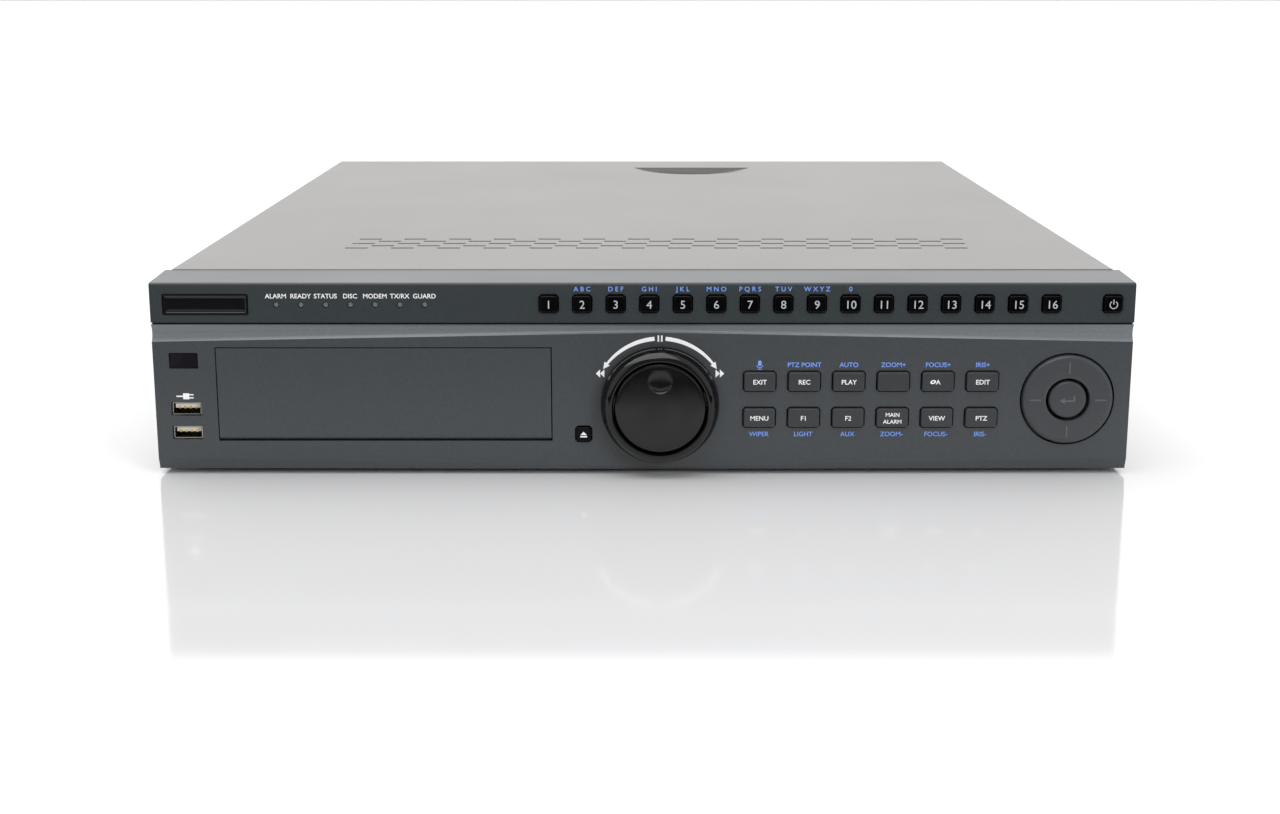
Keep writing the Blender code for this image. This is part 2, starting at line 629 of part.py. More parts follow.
# Case
def rear_cutters():
    """Everything that is punched out of the rear panel."""
    through = (PANEL_IN - 1, BODY_DEPTH + 1)
    holes = [rods(bnc_places(), through, BNC_HOLE, 8, "bnc_holes")]
    holes.append(rods(jack_places(), through, JACK_RADIUS + 0.8, 8, "jack_holes"))
    spans = [(grow(TERMINAL_X, 0.6), through, grow(TERMINAL_Z, 0.6))]
    lan_z = (BOARD_Z[1] - 0.6, BOARD_Z[1] + LAN_BODY[1] + 0.5)
    spans.append((span(LAN_X, LAN_BODY[0] + 1), through, lan_z))
    spans += [
        (span(x, DSUB_SHELL[0] + 2), through, span(BOARD_Z[1] + DSUB_BODY[1] / 2, DSUB_SHELL[1] + 2))
        for x in DSUB_X
    ]
    spans.append((span(INLET_X, 28.2), through, span(INLET_Z, 20.6)))
    spans.append((span(SWITCH_X, 17.0), through, span(INLET_Z, 23.4)))
    holes.append(blocks(spans, label="rear_openings"))
    slats = 9
    pitch = 2 * FAN_BORE / slats
    grille = []
    for i in range(slats):
        x = -FAN_BORE + pitch * (i + 0.5)
        half = math.sqrt((FAN_BORE - 1) ** 2 - x**2)
        grille.append((span(FAN_X + x, pitch - 2.2), through, span(FAN_Z, 2 * half)))
    holes.append(blocks(grille, 1.2, 1, label="fan_grille"))
    return holes


def bnc_places():
    return [(BNC_X0 + i * BNC_PITCH, z) for z in BNC_ROWS_Z for i in range(BNC_COLUMNS)]


def jack_places():
    return [(JACK_X0 + i * JACK_PITCH, JACK_Z) for i in range(JACKS)]


def chassis():
    """Folded pan: floor, sides, rear panel and the wall that carries the fascia."""
    body = block((-CASE_HALF, CASE_HALF), (CASE_FRONT, BODY_DEPTH), CASE_Z, label="pan")
    inside_x = (-CASE_HALF + SHEET, CASE_HALF - SHEET)
    inside_z = (CASE_Z[0] + SHEET, CASE_Z[1] + 1)
    inside = block(inside_x, (CASE_FRONT + SHEET, PANEL_IN), inside_z, label="pan_inside")
    cut(body, inside)
    rails = [
        block(xs, (60.0, 170.0), (CASE_Z[0] + 0.5, 40.0), label="rail")
        for xs in ((-195.2, -193.4), (-42.3, -40.5))
    ]
    join(body, *rails)
    wall = (CASE_FRONT - 1, CASE_FRONT + SHEET + 1)
    drive_way = block((-193.0, -42.5), wall, (15.0, 61.0), label="drive_way")
    cable_way = block((40.0, 120.0), wall, (30.0, 60.0), label="cable_way")
    vents = []
    for side in (-1, 1):
        for i in range(14):
            d = 300.0 + 9 * i
            vents.append((span(side * CASE_HALF, 6), span(d, 3), (24.0, 56.0)))
    cut(body, drive_way, cable_way, blocks(vents, label="side_vents"), *rear_cutters())
    part("chassis", body, "case_paint")


def top_cover():
    outer = block(
        (-COVER_HALF, COVER_HALF), (CASE_FRONT, BODY_DEPTH + FIT + COVER_SHEET), (COVER_SKIRT_Z, HEIGHT),
        1.6, 3, "Y", "cover",
    )
    inner_half = CASE_HALF + FIT
    inner_x, inner_d = (-inner_half, inner_half), (CASE_FRONT - 1, BODY_DEPTH + FIT)
    inner = block(inner_x, inner_d, (COVER_SKIRT_Z - 2, HEIGHT - COVER_SHEET), label="cover_inside")
    behind, below_flange = BODY_DEPTH + 3, (COVER_SKIRT_Z - 2, REAR_FLANGE_Z)
    rear = block((-216, 216), (BODY_DEPTH - 1, behind), below_flange, label="rear_cut")
    corner_d = (BODY_DEPTH + FIT - 0.6, behind)
    corners = blocks(
        [(span(side * (COVER_HALF - 2.2), 5), corner_d, below_flange) for side in (-1, 1)],
        label="corner_cut",
    )
    cut(outer, inner, rear, corners)
    join(outer, half_bowl(PULL_RADIUS + 2.2, PULL_DEPTH + COVER_SHEET, HEIGHT - 0.5))
    slots = []
    for row in range(SLOT_ROWS):
        shift = (SLOT_PITCH / 2 if row % 2 else 0) + SLOT_ROW_STEP * row
        for i in range(SLOTS_IN_ROW[row % 2]):
            x = SLOT_X0 + shift + SLOT_PITCH * i
            ds = span(SLOT_ROW_D0 + SLOT_ROW_PITCH * row, SLOT_SIZE[1])
            slots.append(((x, x + SLOT_SIZE[0]), ds, (HEIGHT - 3, HEIGHT + 1)))
    dish = half_bowl(PULL_RADIUS, PULL_DEPTH, HEIGHT + 1, COVER_SHEET)
    cut(outer, dish, blocks(slots, label="vent_slots"))
    part("top_cover", outer, "case_paint")


def half_bowl(radius, depth, top, wall=0.0):
    """Half of a shallow bowl up to the level of top, cut upright along its rear diameter."""
    ball = (radius**2 + depth**2) / (2 * depth)
    centre_z, rings, steps = HEIGHT + ball - depth, 4, 32
    reach = math.acos((centre_z - top) / ball)

    def make(bm):
        profile = [(0, top)]
        for i in range(rings + 1):
            a = reach * (1 - i / rings)
            profile.append((ball * math.sin(a), centre_z - ball * math.cos(a)))
        verts = [bm.verts.new(point(PULL_X + r, PULL_D, z)) for r, z in profile]
        edges = [bm.edges.new(pair) for pair in zip(verts, verts[1:])]
        bmesh.ops.spin(
            bm, geom=verts + edges, cent=point(PULL_X, PULL_D, 0), axis=(0, 0, 1),
            angle=2 * math.pi, steps=steps, use_merge=True,
        )
        bmesh.ops.remove_doubles(bm, verts=bm.verts, dist=0.00001)

    bowl = helper(make, "bowl")
    ahead_d = (PULL_D - 60, PULL_D - wall)
    ahead = block(span(PULL_X, 120), ahead_d, (HEIGHT - 20, HEIGHT + 9), label="ahead")
    return keep(bowl, ahead)


def feet():
    for side, x in (("left", -FOOT_X), ("right", FOOT_X)):
        for end, d in zip(("front", "rear"), FOOT_D):
            height = CASE_Z[0] - FIT
            foot = helper(
                lambda bm: add_rod(bm, (x, d, height / 2), height, FOOT_RADIUS, 24, "Z", FOOT_RADIUS - 1.5),
                "foot",
            )
            part(f"{end}_{side}_foot", foot, "rubber")


# Inside
def inner_units():
    floor = CASE_Z[0] + SHEET + FIT
    bay_x = sum(BAY_X) / 2
    drive = block(span(bay_x, 146.0), (16.5, 182.0), (17.0, 58.3), label="disc_drive")
    face = block(span(bay_x, 147.6), (12.0, 17.0), (16.8, 58.5), 0.8, label="disc_drive_face")
    tray_gap = block(span(bay_x, 131.0), (11.0, 13.2), (40.0, 53.0), label="tray_outline")
    tray = block(span(bay_x, 129.6), (12.0, 14.0), (40.7, 52.3), label="tray_front")
    part("disc_drive", join(cut(join(drive, face), tray_gap), tray), "drive_metal")
    for i, x in enumerate((30.8, 145.8)):
        unit_z, relief_z = (floor, floor + 26.1), (floor + 23, floor + 27)
        unit = block(span(x, 101.6), (50.0, 197.0), unit_z, 3.0, along="Z", label="hard_drive")
        relief = block(span(x, 70.0), (70.0, 150.0), relief_z, 8.0, along="Z", label="relief")
        part(f"hard_drive_{i + 1}", cut(unit, relief), "drive_metal")
    outer = block((118.0, 212.0), (310.0, 440.0), (floor, 74.0), label="supply")
    inner = block((119.0, 211.0), (311.0, 439.0), (floor - 1, 73.0), label="supply_inside")
    grille = [(span(128.0 + 8 * i, 4), (308, 312), (24, 60)) for i in range(10)]
    part("power_supply", cut(outer, inner, blocks(grille, label="supply_vents")), "drive_metal")


def fan():
    ds = (PANEL_IN - FIT - FAN_DEPTH, PANEL_IN - FIT)
    frame = block(span(FAN_X, FAN_SIDE), ds, span(FAN_Z, FAN_SIDE), 3.0, label="fan_frame")
    bore = rod(FAN_X, FAN_Z, (ds[0] - 1, ds[1] + 1), FAN_BORE, 40, "fan_bore")
    mount = rod(FAN_X, FAN_Z, (ds[0], ds[0] + 2.0), 13.0, 24, "motor_mount")
    strut_d = (ds[0], ds[0] + 2.0)
    across = block(span(FAN_X, FAN_SIDE - 3), strut_d, span(FAN_Z, 3), label="strut")
    upright = block(span(FAN_X, 3), strut_d, span(FAN_Z, FAN_SIDE - 3), label="strut")
    part("fan_frame", join(cut(frame, bore), mount, across, upright), "black_plastic")
    hub = rod(FAN_X, FAN_Z, (ds[0] + 2.6, ds[1] - 3.0), 13.0, 28, "hub")
    middle = (ds[0] + ds[1]) / 2

    def blade(bm, angle):
        inner, outer, chord, thick = 11.5, 27.4, 16.0, 1.2
        place = (
            Matrix.Translation(point(FAN_X, middle, FAN_Z))
            @ Matrix.Rotation(angle, 4, "Y")
            @ Matrix.Translation(Vector(((inner + outer) / 2 * MM, 0, 0)))
            @ Matrix.Rotation(math.radians(38), 4, "X")
            @ Matrix.Diagonal(((outer - inner) * MM, chord * MM, thick * MM, 1.0))
        )
        bmesh.ops.create_cube(bm, size=1.0, matrix=place)

    blades = [
        helper(lambda bm, a=2 * math.pi * i / BLADES: blade(bm, a), "blade") for i in range(BLADES)
    ]
    part("fan_rotor", join(hub, *blades), "black_plastic", (FAN_X, middle, FAN_Z))


def rear_boards():
    plate = block((-113.0, 54.0), REAR_BOARD_D, (24.0, 76.0), label="video_board")
    barrel_d = (REAR_BOARD_D[1] - 0.5, BODY_DEPTH + SOCKET_REACH)
    barrels = rods(bnc_places(), barrel_d, BNC_BARREL, 12, "barrels")
    part("video_input_board", join(plate, barrels), "bright_steel")
    board = block((-212.0, 100.0), (215.0, REAR_BOARD_D[1]), BOARD_Z, label="main_board")
    riser = block((-212.0, -116.0), REAR_BOARD_D, (BOARD_Z[0] + 0.5, 76.0), label="riser")
    jacks = rods(jack_places(), (REAR_BOARD_D[1] - 0.5, 479.0), JACK_RADIUS, 12, "jacks")
    terminal = block(TERMINAL_X, (REAR_BOARD_D[1] - 0.5, TERMINAL_END), TERMINAL_Z, label="terminal")
    low = BOARD_Z[1] - 0.5
    lan = block(span(LAN_X, LAN_BODY[0]), (450.0, 471.5), (low, BOARD_Z[1] + LAN_BODY[1]), label="lan")
    mouth_z = span(BOARD_Z[1] + LAN_BODY[1] / 2, LAN_MOUTH[1])
    mouth = block(span(LAN_X, LAN_MOUTH[0]), (460.5, 473.0), mouth_z, label="lan_mouth")
    join(board, riser, jacks, terminal, lan)
    body_z = (low, BOARD_Z[1] + DSUB_BODY[1])
    shell_z = span(BOARD_Z[1] + DSUB_BODY[1] / 2, DSUB_SHELL[1])
    for x in DSUB_X:
        body = block(span(x, DSUB_BODY[0]), (455.0, PANEL_IN - FIT), body_z, label="dsub")
        shell = block(span(x, DSUB_SHELL[0]), (460.0, 475.5), shell_z, 1.6, label="shell")
        join(board, body, shell)
    posts = [
        helper(lambda bm, x=x, d=d: add_rod(bm, (x, d, 11.4), 5.8, 3.0, 12, "Z"), "standoff")
        for x in (-200.0, 88.0)
        for d in (225.0, 440.0)
    ]
    sink = block((-90.0, -40.0), (300.0, 350.0), (low, 34.0), label="heat_sink")
    fins = blocks(
        [((-87.0 + 6 * i, -84.0 + 6 * i), (299.0, 351.0), (20.0, 35.0)) for i in range(8)], label="fin_gaps"
    )
    join(board, *posts, cut(sink, fins))
    part("main_board", cut(board, mouth), "circuit_board")


def mains_inlet():
    """Inlet and switch housing in one moulding, with a rocker that tips on a pin."""
    outer = BODY_DEPTH + FIT
    flange = block(INLET_FLANGE_X, (outer, outer + 2.2), INLET_FLANGE_Z, 2.0, label="flange")
    body = block(span(INLET_X, 27.4), (446.5, outer + 1), span(INLET_Z, 19.8), 2.0, label="inlet_body")
    cradle = block(span(SWITCH_X, 16.2), (452.0, outer + 1), span(INLET_Z, 22.6), label="cradle")
    mouth = block(span(INLET_X, 24.4), (457.0, outer + 4), span(INLET_Z, 16.2), 2.4, label="inlet_mouth")
    pocket = block(span(SWITCH_X, 13.0), (458.0, outer + 4), span(INLET_Z, 20.4), label="rocker_pocket")
    blades = blocks(
        [
            (span(INLET_X - 7, 2.0), (456.0, 466.0), span(INLET_Z - 1, 4.0)),
            (span(INLET_X + 7, 2.0), (456.0, 466.0), span(INLET_Z - 1, 4.0)),
            (span(INLET_X, 2.0), (456.0, 466.0), span(INLET_Z + 4.6, 4.0)),
        ],
        label="pins",
    )
    housing = join(flange, body, cradle)
    pin_hole = helper(lambda bm: add_rod(bm, (SWITCH_X, 467.0, INLET_Z), 15.0, 1.3, 12, "X"), "pin_hole")
    part("mains_inlet", join(cut(housing, mouth, pocket, pin_hole), blades), "black_plastic")
    outline = [(463.5, 4.0), (471.0, ROCKER_HALF), (473.4, ROCKER_HALF), (471.8, 0.0),
               (473.4, -ROCKER_HALF), (471.0, -ROCKER_HALF), (463.5, -4.0)]
    pivot_d = 467.0
    cos, sin = math.cos(ROCKER_TILT), math.sin(ROCKER_TILT)
    tilted = []
    for d, z in outline:
        out, up = d - pivot_d, z
        tilted.append((pivot_d + out * cos - up * sin, INLET_Z + out * sin + up * cos))
    rocker = prism(tilted, span(SWITCH_X, 12.2), "rocker")
    pin = helper(lambda bm: add_rod(bm, (SWITCH_X, pivot_d, INLET_Z), 14.4, 1.0, 12, "X"), "rocker_pin")
    part("mains_switch", join(rocker, pin), "black_plastic", (SWITCH_X, pivot_d, INLET_Z))


def main():
    upper_bezel()
    lower_bezel()
    drive_flap()
    badge_and_window()
    usb_ports()
    keys()
    dials()
    direction_pad()
    front_board()
    chassis()
    top_cover()
    feet()
    inner_units()
    fan()
    rear_boards()
    mains_inlet()


main()
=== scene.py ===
"""Finishes the video recorder that the frame holds: fascia, keys, dials, case, rear sockets and printing."""

import math
from collections import Counter

import bmesh
import bpy
from bpy.props import FloatProperty, FloatVectorProperty, PointerProperty
from bpy.types import Operator, Panel, PropertyGroup
from mathutils import Matrix, Vector


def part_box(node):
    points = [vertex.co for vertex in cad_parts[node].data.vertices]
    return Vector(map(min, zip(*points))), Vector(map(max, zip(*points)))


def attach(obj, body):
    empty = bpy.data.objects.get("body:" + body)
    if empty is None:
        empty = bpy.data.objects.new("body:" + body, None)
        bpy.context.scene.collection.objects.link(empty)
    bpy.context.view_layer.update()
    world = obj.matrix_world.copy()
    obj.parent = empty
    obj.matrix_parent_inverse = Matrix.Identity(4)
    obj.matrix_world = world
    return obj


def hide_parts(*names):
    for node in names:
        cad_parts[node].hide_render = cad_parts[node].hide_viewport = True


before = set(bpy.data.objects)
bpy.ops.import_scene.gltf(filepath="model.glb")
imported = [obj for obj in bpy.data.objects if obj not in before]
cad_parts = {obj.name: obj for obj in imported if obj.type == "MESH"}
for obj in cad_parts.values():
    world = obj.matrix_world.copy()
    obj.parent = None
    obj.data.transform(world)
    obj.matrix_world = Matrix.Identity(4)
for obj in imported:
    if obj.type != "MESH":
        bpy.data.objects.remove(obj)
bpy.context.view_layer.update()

bl_info = {
    "name": "Video Recorder Finish",
    "version": (1, 0, 0),
    "blender": (4, 5, 0),
    "location": "View3D > Sidebar > Recorder",
    "description": "Models the visible surfaces of a two-unit video recorder around its CAD frame",
    "category": "Object",
}

MM = 0.001


def corners(node):
    """Low and high corner of a CAD node's box."""
    low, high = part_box(node)
    return Vector(low), Vector(high)


def middle(node):
    low, high = corners(node)
    return (low + high) / 2


FRONT = corners("lower_bezel")[0].y  # plane of the front face
REAR = corners("chassis")[1].y  # outside of the rear panel
CHANNEL_KEYS = [f"channel_key_{i:02d}" for i in range(1, 17)]
FUNCTION_KEYS = [f"function_key_{row}_{i}" for row in ("upper", "lower") for i in range(1, 7)]


def linear(code):
    """An sRGB hex colour as linear RGBA."""
    parts = [int(code[i : i + 2], 16) / 255 for i in (1, 3, 5)]
    return (*[c / 12.92 if c <= 0.04045 else ((c + 0.055) / 1.055) ** 2.4 for c in parts], 1.0)


def colour_property(label, about, code):
    return FloatVectorProperty(
        name=label, description=about, subtype="COLOR", size=4, min=0, max=1, default=linear(code)
    )


def length_property(label, about, millimetres):
    return FloatProperty(
        name=label, description=about, default=millimetres * MM, min=0, unit="LENGTH", precision=5
    )


class RecorderColours(PropertyGroup):
    """Colours of the recorder's finishes."""

    cover: colour_property("Cover paint", "Powder coat on the cover and the pan", "#7b7977")
    strip: colour_property("Strip plastic", "Moulded ABS of the upper strip", "#33393c")
    panel: colour_property("Panel plastic", "Moulded ABS of the lower panel", "#414548")
    # The cove colour is the panel plastic painted lighter: a painted sheen for the light the hollow band
    # catches
    cove: colour_property("Cove plastic", "Satin band between the panel's brow line and its top", "#70757a")
    function_key: colour_property("Function key plastic", "Satin ABS of the function keys", "#35373a")
    gloss_black: colour_property("Gloss black", "Polished ABS of the channel keys and the dials", "#040405")
    white_ink: colour_property("White ink", "Pad print on the fascia and the keys", "#fdfdfe")
    blue_ink: colour_property("Blue ink", "Second legends above and below the keys", "#7aa2fb")
    grey_ink: colour_property("Grey ink", "Numerals on the channel keys", "#b9bec2")


class RecorderSizes(PropertyGroup):
    """Sizes of the fine shapes that the CAD leaves to the finish."""

    edge_round: length_property("Fascia edge radius", "Round on the edges of the holes and the flap", 0.22)
    key_corner: length_property("Key corner radius", "Round on a key's four corners", 1.1)
    key_rim: length_property("Key rim width", "Round where a key's face meets its sides", 0.75)
    print_thickness: length_property("Print thickness", "How far the ink stands proud of the plastic", 0.03)
    key_print: length_property("Key print height", "Capital height on the function keys", 2.25)
    numeral: length_property("Numeral height", "Height of the channel numbers", 3.9)
    small_print: length_property("Small print height", "Capital height of the legends round the keys", 2.25)
    scale_radius: length_property("Shuttle scale radius", "Middle of the printed arc over the dial", 30.6)
    scale_stroke: length_property("Shuttle scale stroke", "Width of the printed arc", 1.9)
    screw_radius: length_property("Screw head radius", "Radius of a pan-head case screw", 2.7)
    camera_distance: length_property("Camera distance", "From the front face to the camera", 725.3)
    camera_height: length_property("Camera height", "From the floor to the camera", 227.3)
    floor_side: length_property("Floor side", "Length of the floor's sides", 60000.0)


class RecorderSettings(PropertyGroup):
    """Everything a user can change about the recorder's finish."""

    colours: PointerProperty(type=RecorderColours)
    sizes: PointerProperty(type=RecorderSizes)


def colours():
    return bpy.context.scene.recorder.colours


def sizes():
    return bpy.context.scene.recorder.sizes


# Shader building
def add_node(tree, kind, **values):
    """Adds a node and sets each value: a socket is linked, an attribute or an input is set."""
    node = tree.nodes.new(kind)
    for key, value in values.items():
        name = key.replace("_", " ")
        socket = node.inputs.get(name)
        if isinstance(value, bpy.types.NodeSocket):
            tree.links.new(value, socket)
        elif socket is not None:
            socket.default_value = value
        else:
            setattr(node, key, value)
    return node


def new_material(name, colour, roughness, metallic=0.0, **sockets):
    """A material with its Principled shader, its tree and its object coordinates."""
    made = bpy.data.materials.new(name)
    made.use_nodes = True
    made.diffuse_color = colour
    tree = made.node_tree
    shader = tree.nodes["Principled BSDF"]
    shader.inputs["Base Color"].default_value = colour
    shader.inputs["Roughness"].default_value = roughness
    shader.inputs["Metallic"].default_value = metallic
    for key, value in sockets.items():
        shader.inputs[key.replace("_", " ")].default_value = value
    place = add_node(tree, "ShaderNodeTexCoord").outputs["Object"]
    return made, tree, shader, place


def mottle(tree, shader, place, colour, grain_mm, spread, detail=2.0):
    """Varies the colour by spread each way, over grains about grain_mm across."""
    grain = add_node(tree, "ShaderNodeTexNoise", Vector=place, Scale=1 / (grain_mm * MM), Detail=detail)
    ramp = add_node(tree, "ShaderNodeValToRGB", Fac=grain.outputs["Fac"])
    for element, position, change in zip(ramp.color_ramp.elements, (0.35, 0.65), (-spread, spread)):
        element.position = position
        element.color = tuple(min(1.0, c * (1 + change)) for c in colour[:3]) + (1.0,)
    tree.links.new(ramp.outputs["Color"], shader.inputs["Base Color"])


def uneven_gloss(tree, shader, place, patch_mm, low, high):
    """Lets the roughness wander from low to high, over patches about patch_mm across."""
    patch = add_node(tree, "ShaderNodeTexNoise", Vector=place, Scale=1 / (patch_mm * MM), Detail=3.0)
    spread = add_node(
        tree, "ShaderNodeMapRange", Value=patch.outputs["Fac"], From_Min=0.3, From_Max=0.7,
        To_Min=low, To_Max=high,
    )
    tree.links.new(spread.outputs["Result"], shader.inputs["Roughness"])


def relief(tree, shader, place, grain_mm, depth_mm, detail=2.0):
    """Raises and sinks the surface by depth_mm, over grains about grain_mm across."""
    grain = add_node(tree, "ShaderNodeTexNoise", Vector=place, Scale=1 / (grain_mm * MM), Detail=detail)
    height = add_node(tree, "ShaderNodeBump", Height=grain.outputs["Fac"], Distance=depth_mm * MM)
    tree.links.new(height.outputs["Normal"], shader.inputs["Normal"])


def spark_eroded_abs(name, colour, roughness, grain_mm=0.9, depth_mm=0.012):
    """ABS moulded in a spark-eroded tool: a fine even grain that spreads the highlight into a soft sheen."""
    made, tree, shader, place = new_material(name, colour, roughness)
    mottle(tree, shader, place, colour, grain_mm, 0.07, 3.0)
    uneven_gloss(tree, shader, place, 60.0, roughness - 0.01, roughness + 0.015)
    relief(tree, shader, place, grain_mm, depth_mm, 3.0)
    return made


def polished_abs(name, colour, roughness, specular=0.5):
    """ABS or nylon from a polished tool: a clear reflection that faint finger smears soften in patches."""
    made, tree, shader, place = new_material(name, colour, roughness, Specular_IOR_Level=specular)
    mottle(tree, shader, place, colour, 3.0, 0.06)
    uneven_gloss(tree, shader, place, 9.0, roughness * 0.75, roughness * 1.4)
    relief(tree, shader, place, 6.0, 0.004)
    return made


def powder_coat(name, colour, roughness=0.42):
    """Powder-coated steel: orange peel of a millimetre or two under a fine fleck, so light pools softly."""
    made, tree, shader, place = new_material(name, colour, roughness, 0.15)
    mottle(tree, shader, place, colour, 0.7, 0.06, 1.0)
    uneven_gloss(tree, shader, place, 90.0, roughness - 0.012, roughness + 0.012)
    relief(tree, shader, place, 1.6, 0.006)
    return made


def plated_steel(name, colour, roughness, grain_mm=1.2):
    """Nickel, zinc or gold over drawn metal: bright, with fine lines along X and duller patches."""
    made, tree, shader, place = new_material(name, colour, roughness, 1.0)
    along = add_node(tree, "ShaderNodeMapping", Vector=place, Scale=(0.06, 1.0, 1.0)).outputs["Vector"]
    mottle(tree, shader, place, colour, 7.0, 0.08)
    uneven_gloss(tree, shader, along, grain_mm, roughness - 0.08, roughness + 0.1)
    relief(tree, shader, along, grain_mm, 0.003)
    return made


def pad_print(name, colour):
    """Pad-printed ink: matt, a little uneven where the plastic's grain shows through."""
    made, tree, shader, place = new_material(name, colour, 0.55)
    mottle(tree, shader, place, colour, 0.5, 0.05)
    relief(tree, shader, place, 0.5, 0.003)
    return made


def soft_rubber(name, colour):
    """Moulded rubber: dull and dark, with a dusty bloom."""
    made, tree, shader, place = new_material(name, colour, 0.85)
    mottle(tree, shader, place, colour, 4.0, 0.25, 3.0)
    relief(tree, shader, place, 0.6, 0.02)
    return made


def solder_mask(name, colour):
    """Green lacquer over copper: tracks in steps of about two millimetres glow lighter through it."""
    made, tree, shader, place = new_material(name, colour, 0.4)
    tracks = add_node(
        tree, "ShaderNodeTexBrick", Vector=place, Scale=1 / (8 * MM), Mortar_Size=0.06, Color1=colour,
        Color2=(*[c * 0.8 for c in colour[:3]], 1.0), Mortar=(*[min(1.0, c * 1.9) for c in colour[:3]], 1.0),
    )
    tree.links.new(tracks.outputs["Color"], shader.inputs["Base Color"])
    uneven_gloss(tree, shader, place, 5.0, 0.3, 0.5)
    return made


def tinted_lens(name, colour):
    """Cast acrylic filter: nearly black, with a deep clear gloss."""
    made, tree, shader, place = new_material(name, colour, 0.08, Specular_IOR_Level=0.2)
    mottle(tree, shader, place, colour, 12.0, 0.15)
    uneven_gloss(tree, shader, place, 5.0, 0.06, 0.14)
    return made


def milky_lens(name, colour):
    """Frosted acrylic of the unlit lamps: a soft grey dot that light enters a little way."""
    made, tree, shader, place = new_material(name, colour, 0.3, Subsurface_Weight=0.2)
    mottle(tree, shader, place, colour, 1.5, 0.06)
    uneven_gloss(tree, shader, place, 1.0, 0.22, 0.38)
    return made


FINISHES = {}


def make_finishes():
    """Makes the materials. Where a grain is finer than the eye could part, its size is drawn coarser."""
    c = colours()
    FINISHES.update(
        # Painted steel: light and even, with soft pools of light
        cover=powder_coat("light_grey_powder_coat", tuple(c.cover)),
        # Satin mouldings: dark plastic whose fine grain keeps a soft sheen
        strip=spark_eroded_abs("strip_abs", tuple(c.strip), 0.33),
        panel=spark_eroded_abs("panel_abs", tuple(c.panel), 0.34),
        # Panel plastic painted lighter on the hollow band: a painted sheen
        cove=spark_eroded_abs("cove_abs_painted_sheen", tuple(c.cove), 0.28, 0.6, 0.004),
        function_key=spark_eroded_abs("function_key_abs", tuple(c.function_key), 0.38, 0.6, 0.006),
        pad=spark_eroded_abs("direction_pad_abs", linear("#3d4043"), 0.34, 0.6, 0.006),
        # Polished mouldings: near black, with clear reflections
        channel_key=polished_abs("channel_key_abs", tuple(c.gloss_black), 0.22, 0.15),
        ring=polished_abs("ring_abs", tuple(c.gloss_black), 0.08, 0.5),
        dial=polished_abs("dial_abs", linear("#0d0d0f"), 0.15, 0.5),
        badge=polished_abs("badge_abs", linear("#101013"), 0.12, 0.5),
        # Inks: matt and flat beside the plastic
        white_ink=pad_print("white_pad_print", tuple(c.white_ink)),
        blue_ink=pad_print("blue_pad_print", tuple(c.blue_ink)),
        grey_ink=pad_print("grey_pad_print", tuple(c.grey_ink)),
        dark_ink=pad_print("dark_pad_print", linear("#26282a")),
        dim_ink=pad_print("dim_pad_print", linear("#5c6063")),
        # Acrylics: a dark glossy window and milky lamp pins
        window=tinted_lens("infrared_acrylic", linear("#1f1b22")),
        lens=milky_lens("frosted_acrylic", linear("#6a6d70")),
        # Metals: bright nickel and gold, duller zinc and casting
        nickel=plated_steel("nickel_plated_steel", linear("#b9b4aa"), 0.24),
        zinc=plated_steel("zinc_plated_steel", linear("#a9abab"), 0.34, 2.0),
        gold=plated_steel("gold_flashed_contact", linear("#d8ac52"), 0.22, 0.4),
        casting=plated_steel("cast_aluminium", linear("#9a9b9c"), 0.5, 3.0),
        # Nylon, rubber and circuit board of the rear sockets, feet and inner units
        socket_white=polished_abs("socket_white_nylon", linear("#e6e4dc"), 0.35),
        # Black nylon of the real black parts, also used as painted shade in holes, recesses, wells and the
        # groove
        black=spark_eroded_abs("black_nylon_and_painted_shade", linear("#131314"), 0.5, 0.7, 0.01),
        rubber=soft_rubber("black_rubber", linear("#17171a")),
        green=solder_mask("green_solder_mask", linear("#14502c")),
        terminal=polished_abs("green_terminal_nylon", linear("#1f7a45"), 0.4),
        red=polished_abs("red_jack_nylon", linear("#a8201c"), 0.35),
        yellow=polished_abs("yellow_jack_nylon", linear("#c9a21a"), 0.35),
        blue_shell=polished_abs("blue_socket_nylon", linear("#1c4ea0"), 0.35),
    )


# Shape building
def gathered(shapes):
    """Several bmeshes as one."""
    whole = bmesh.new()
    for shape in shapes:
        scratch = bpy.data.meshes.new("scratch")
        shape.to_mesh(scratch)
        shape.free()
        whole.from_mesh(scratch)
        bpy.data.meshes.remove(scratch)
    return whole


def box_shape(low, high, corner=0.0, rim=0.0, axis="Y", steps=4, both_rims=False):
    """A box: corner rounds its edges along one axis, rim the edges of the face at the axis's low end."""
    low, high = Vector(low), Vector(high)
    bm = bmesh.new()
    place = Matrix.Translation((low + high) / 2) @ Matrix.Diagonal((*(high - low), 1.0))
    bmesh.ops.create_cube(bm, size=1.0, matrix=place)
    i = "XYZ".index(axis)
    if corner:
        along = [e for e in bm.edges if abs(e.verts[0].co[i] - e.verts[1].co[i]) > 1e-7]
        round_edges(bm, along, corner, steps)
    if rim:
        ends = [low[i], high[i]] if both_rims else [low[i]]
        rims = [e for e in bm.edges if any(on_plane(axis, end, 1e-7)(e) for end in ends)]
        round_edges(bm, rims, rim, 3)
    return bm


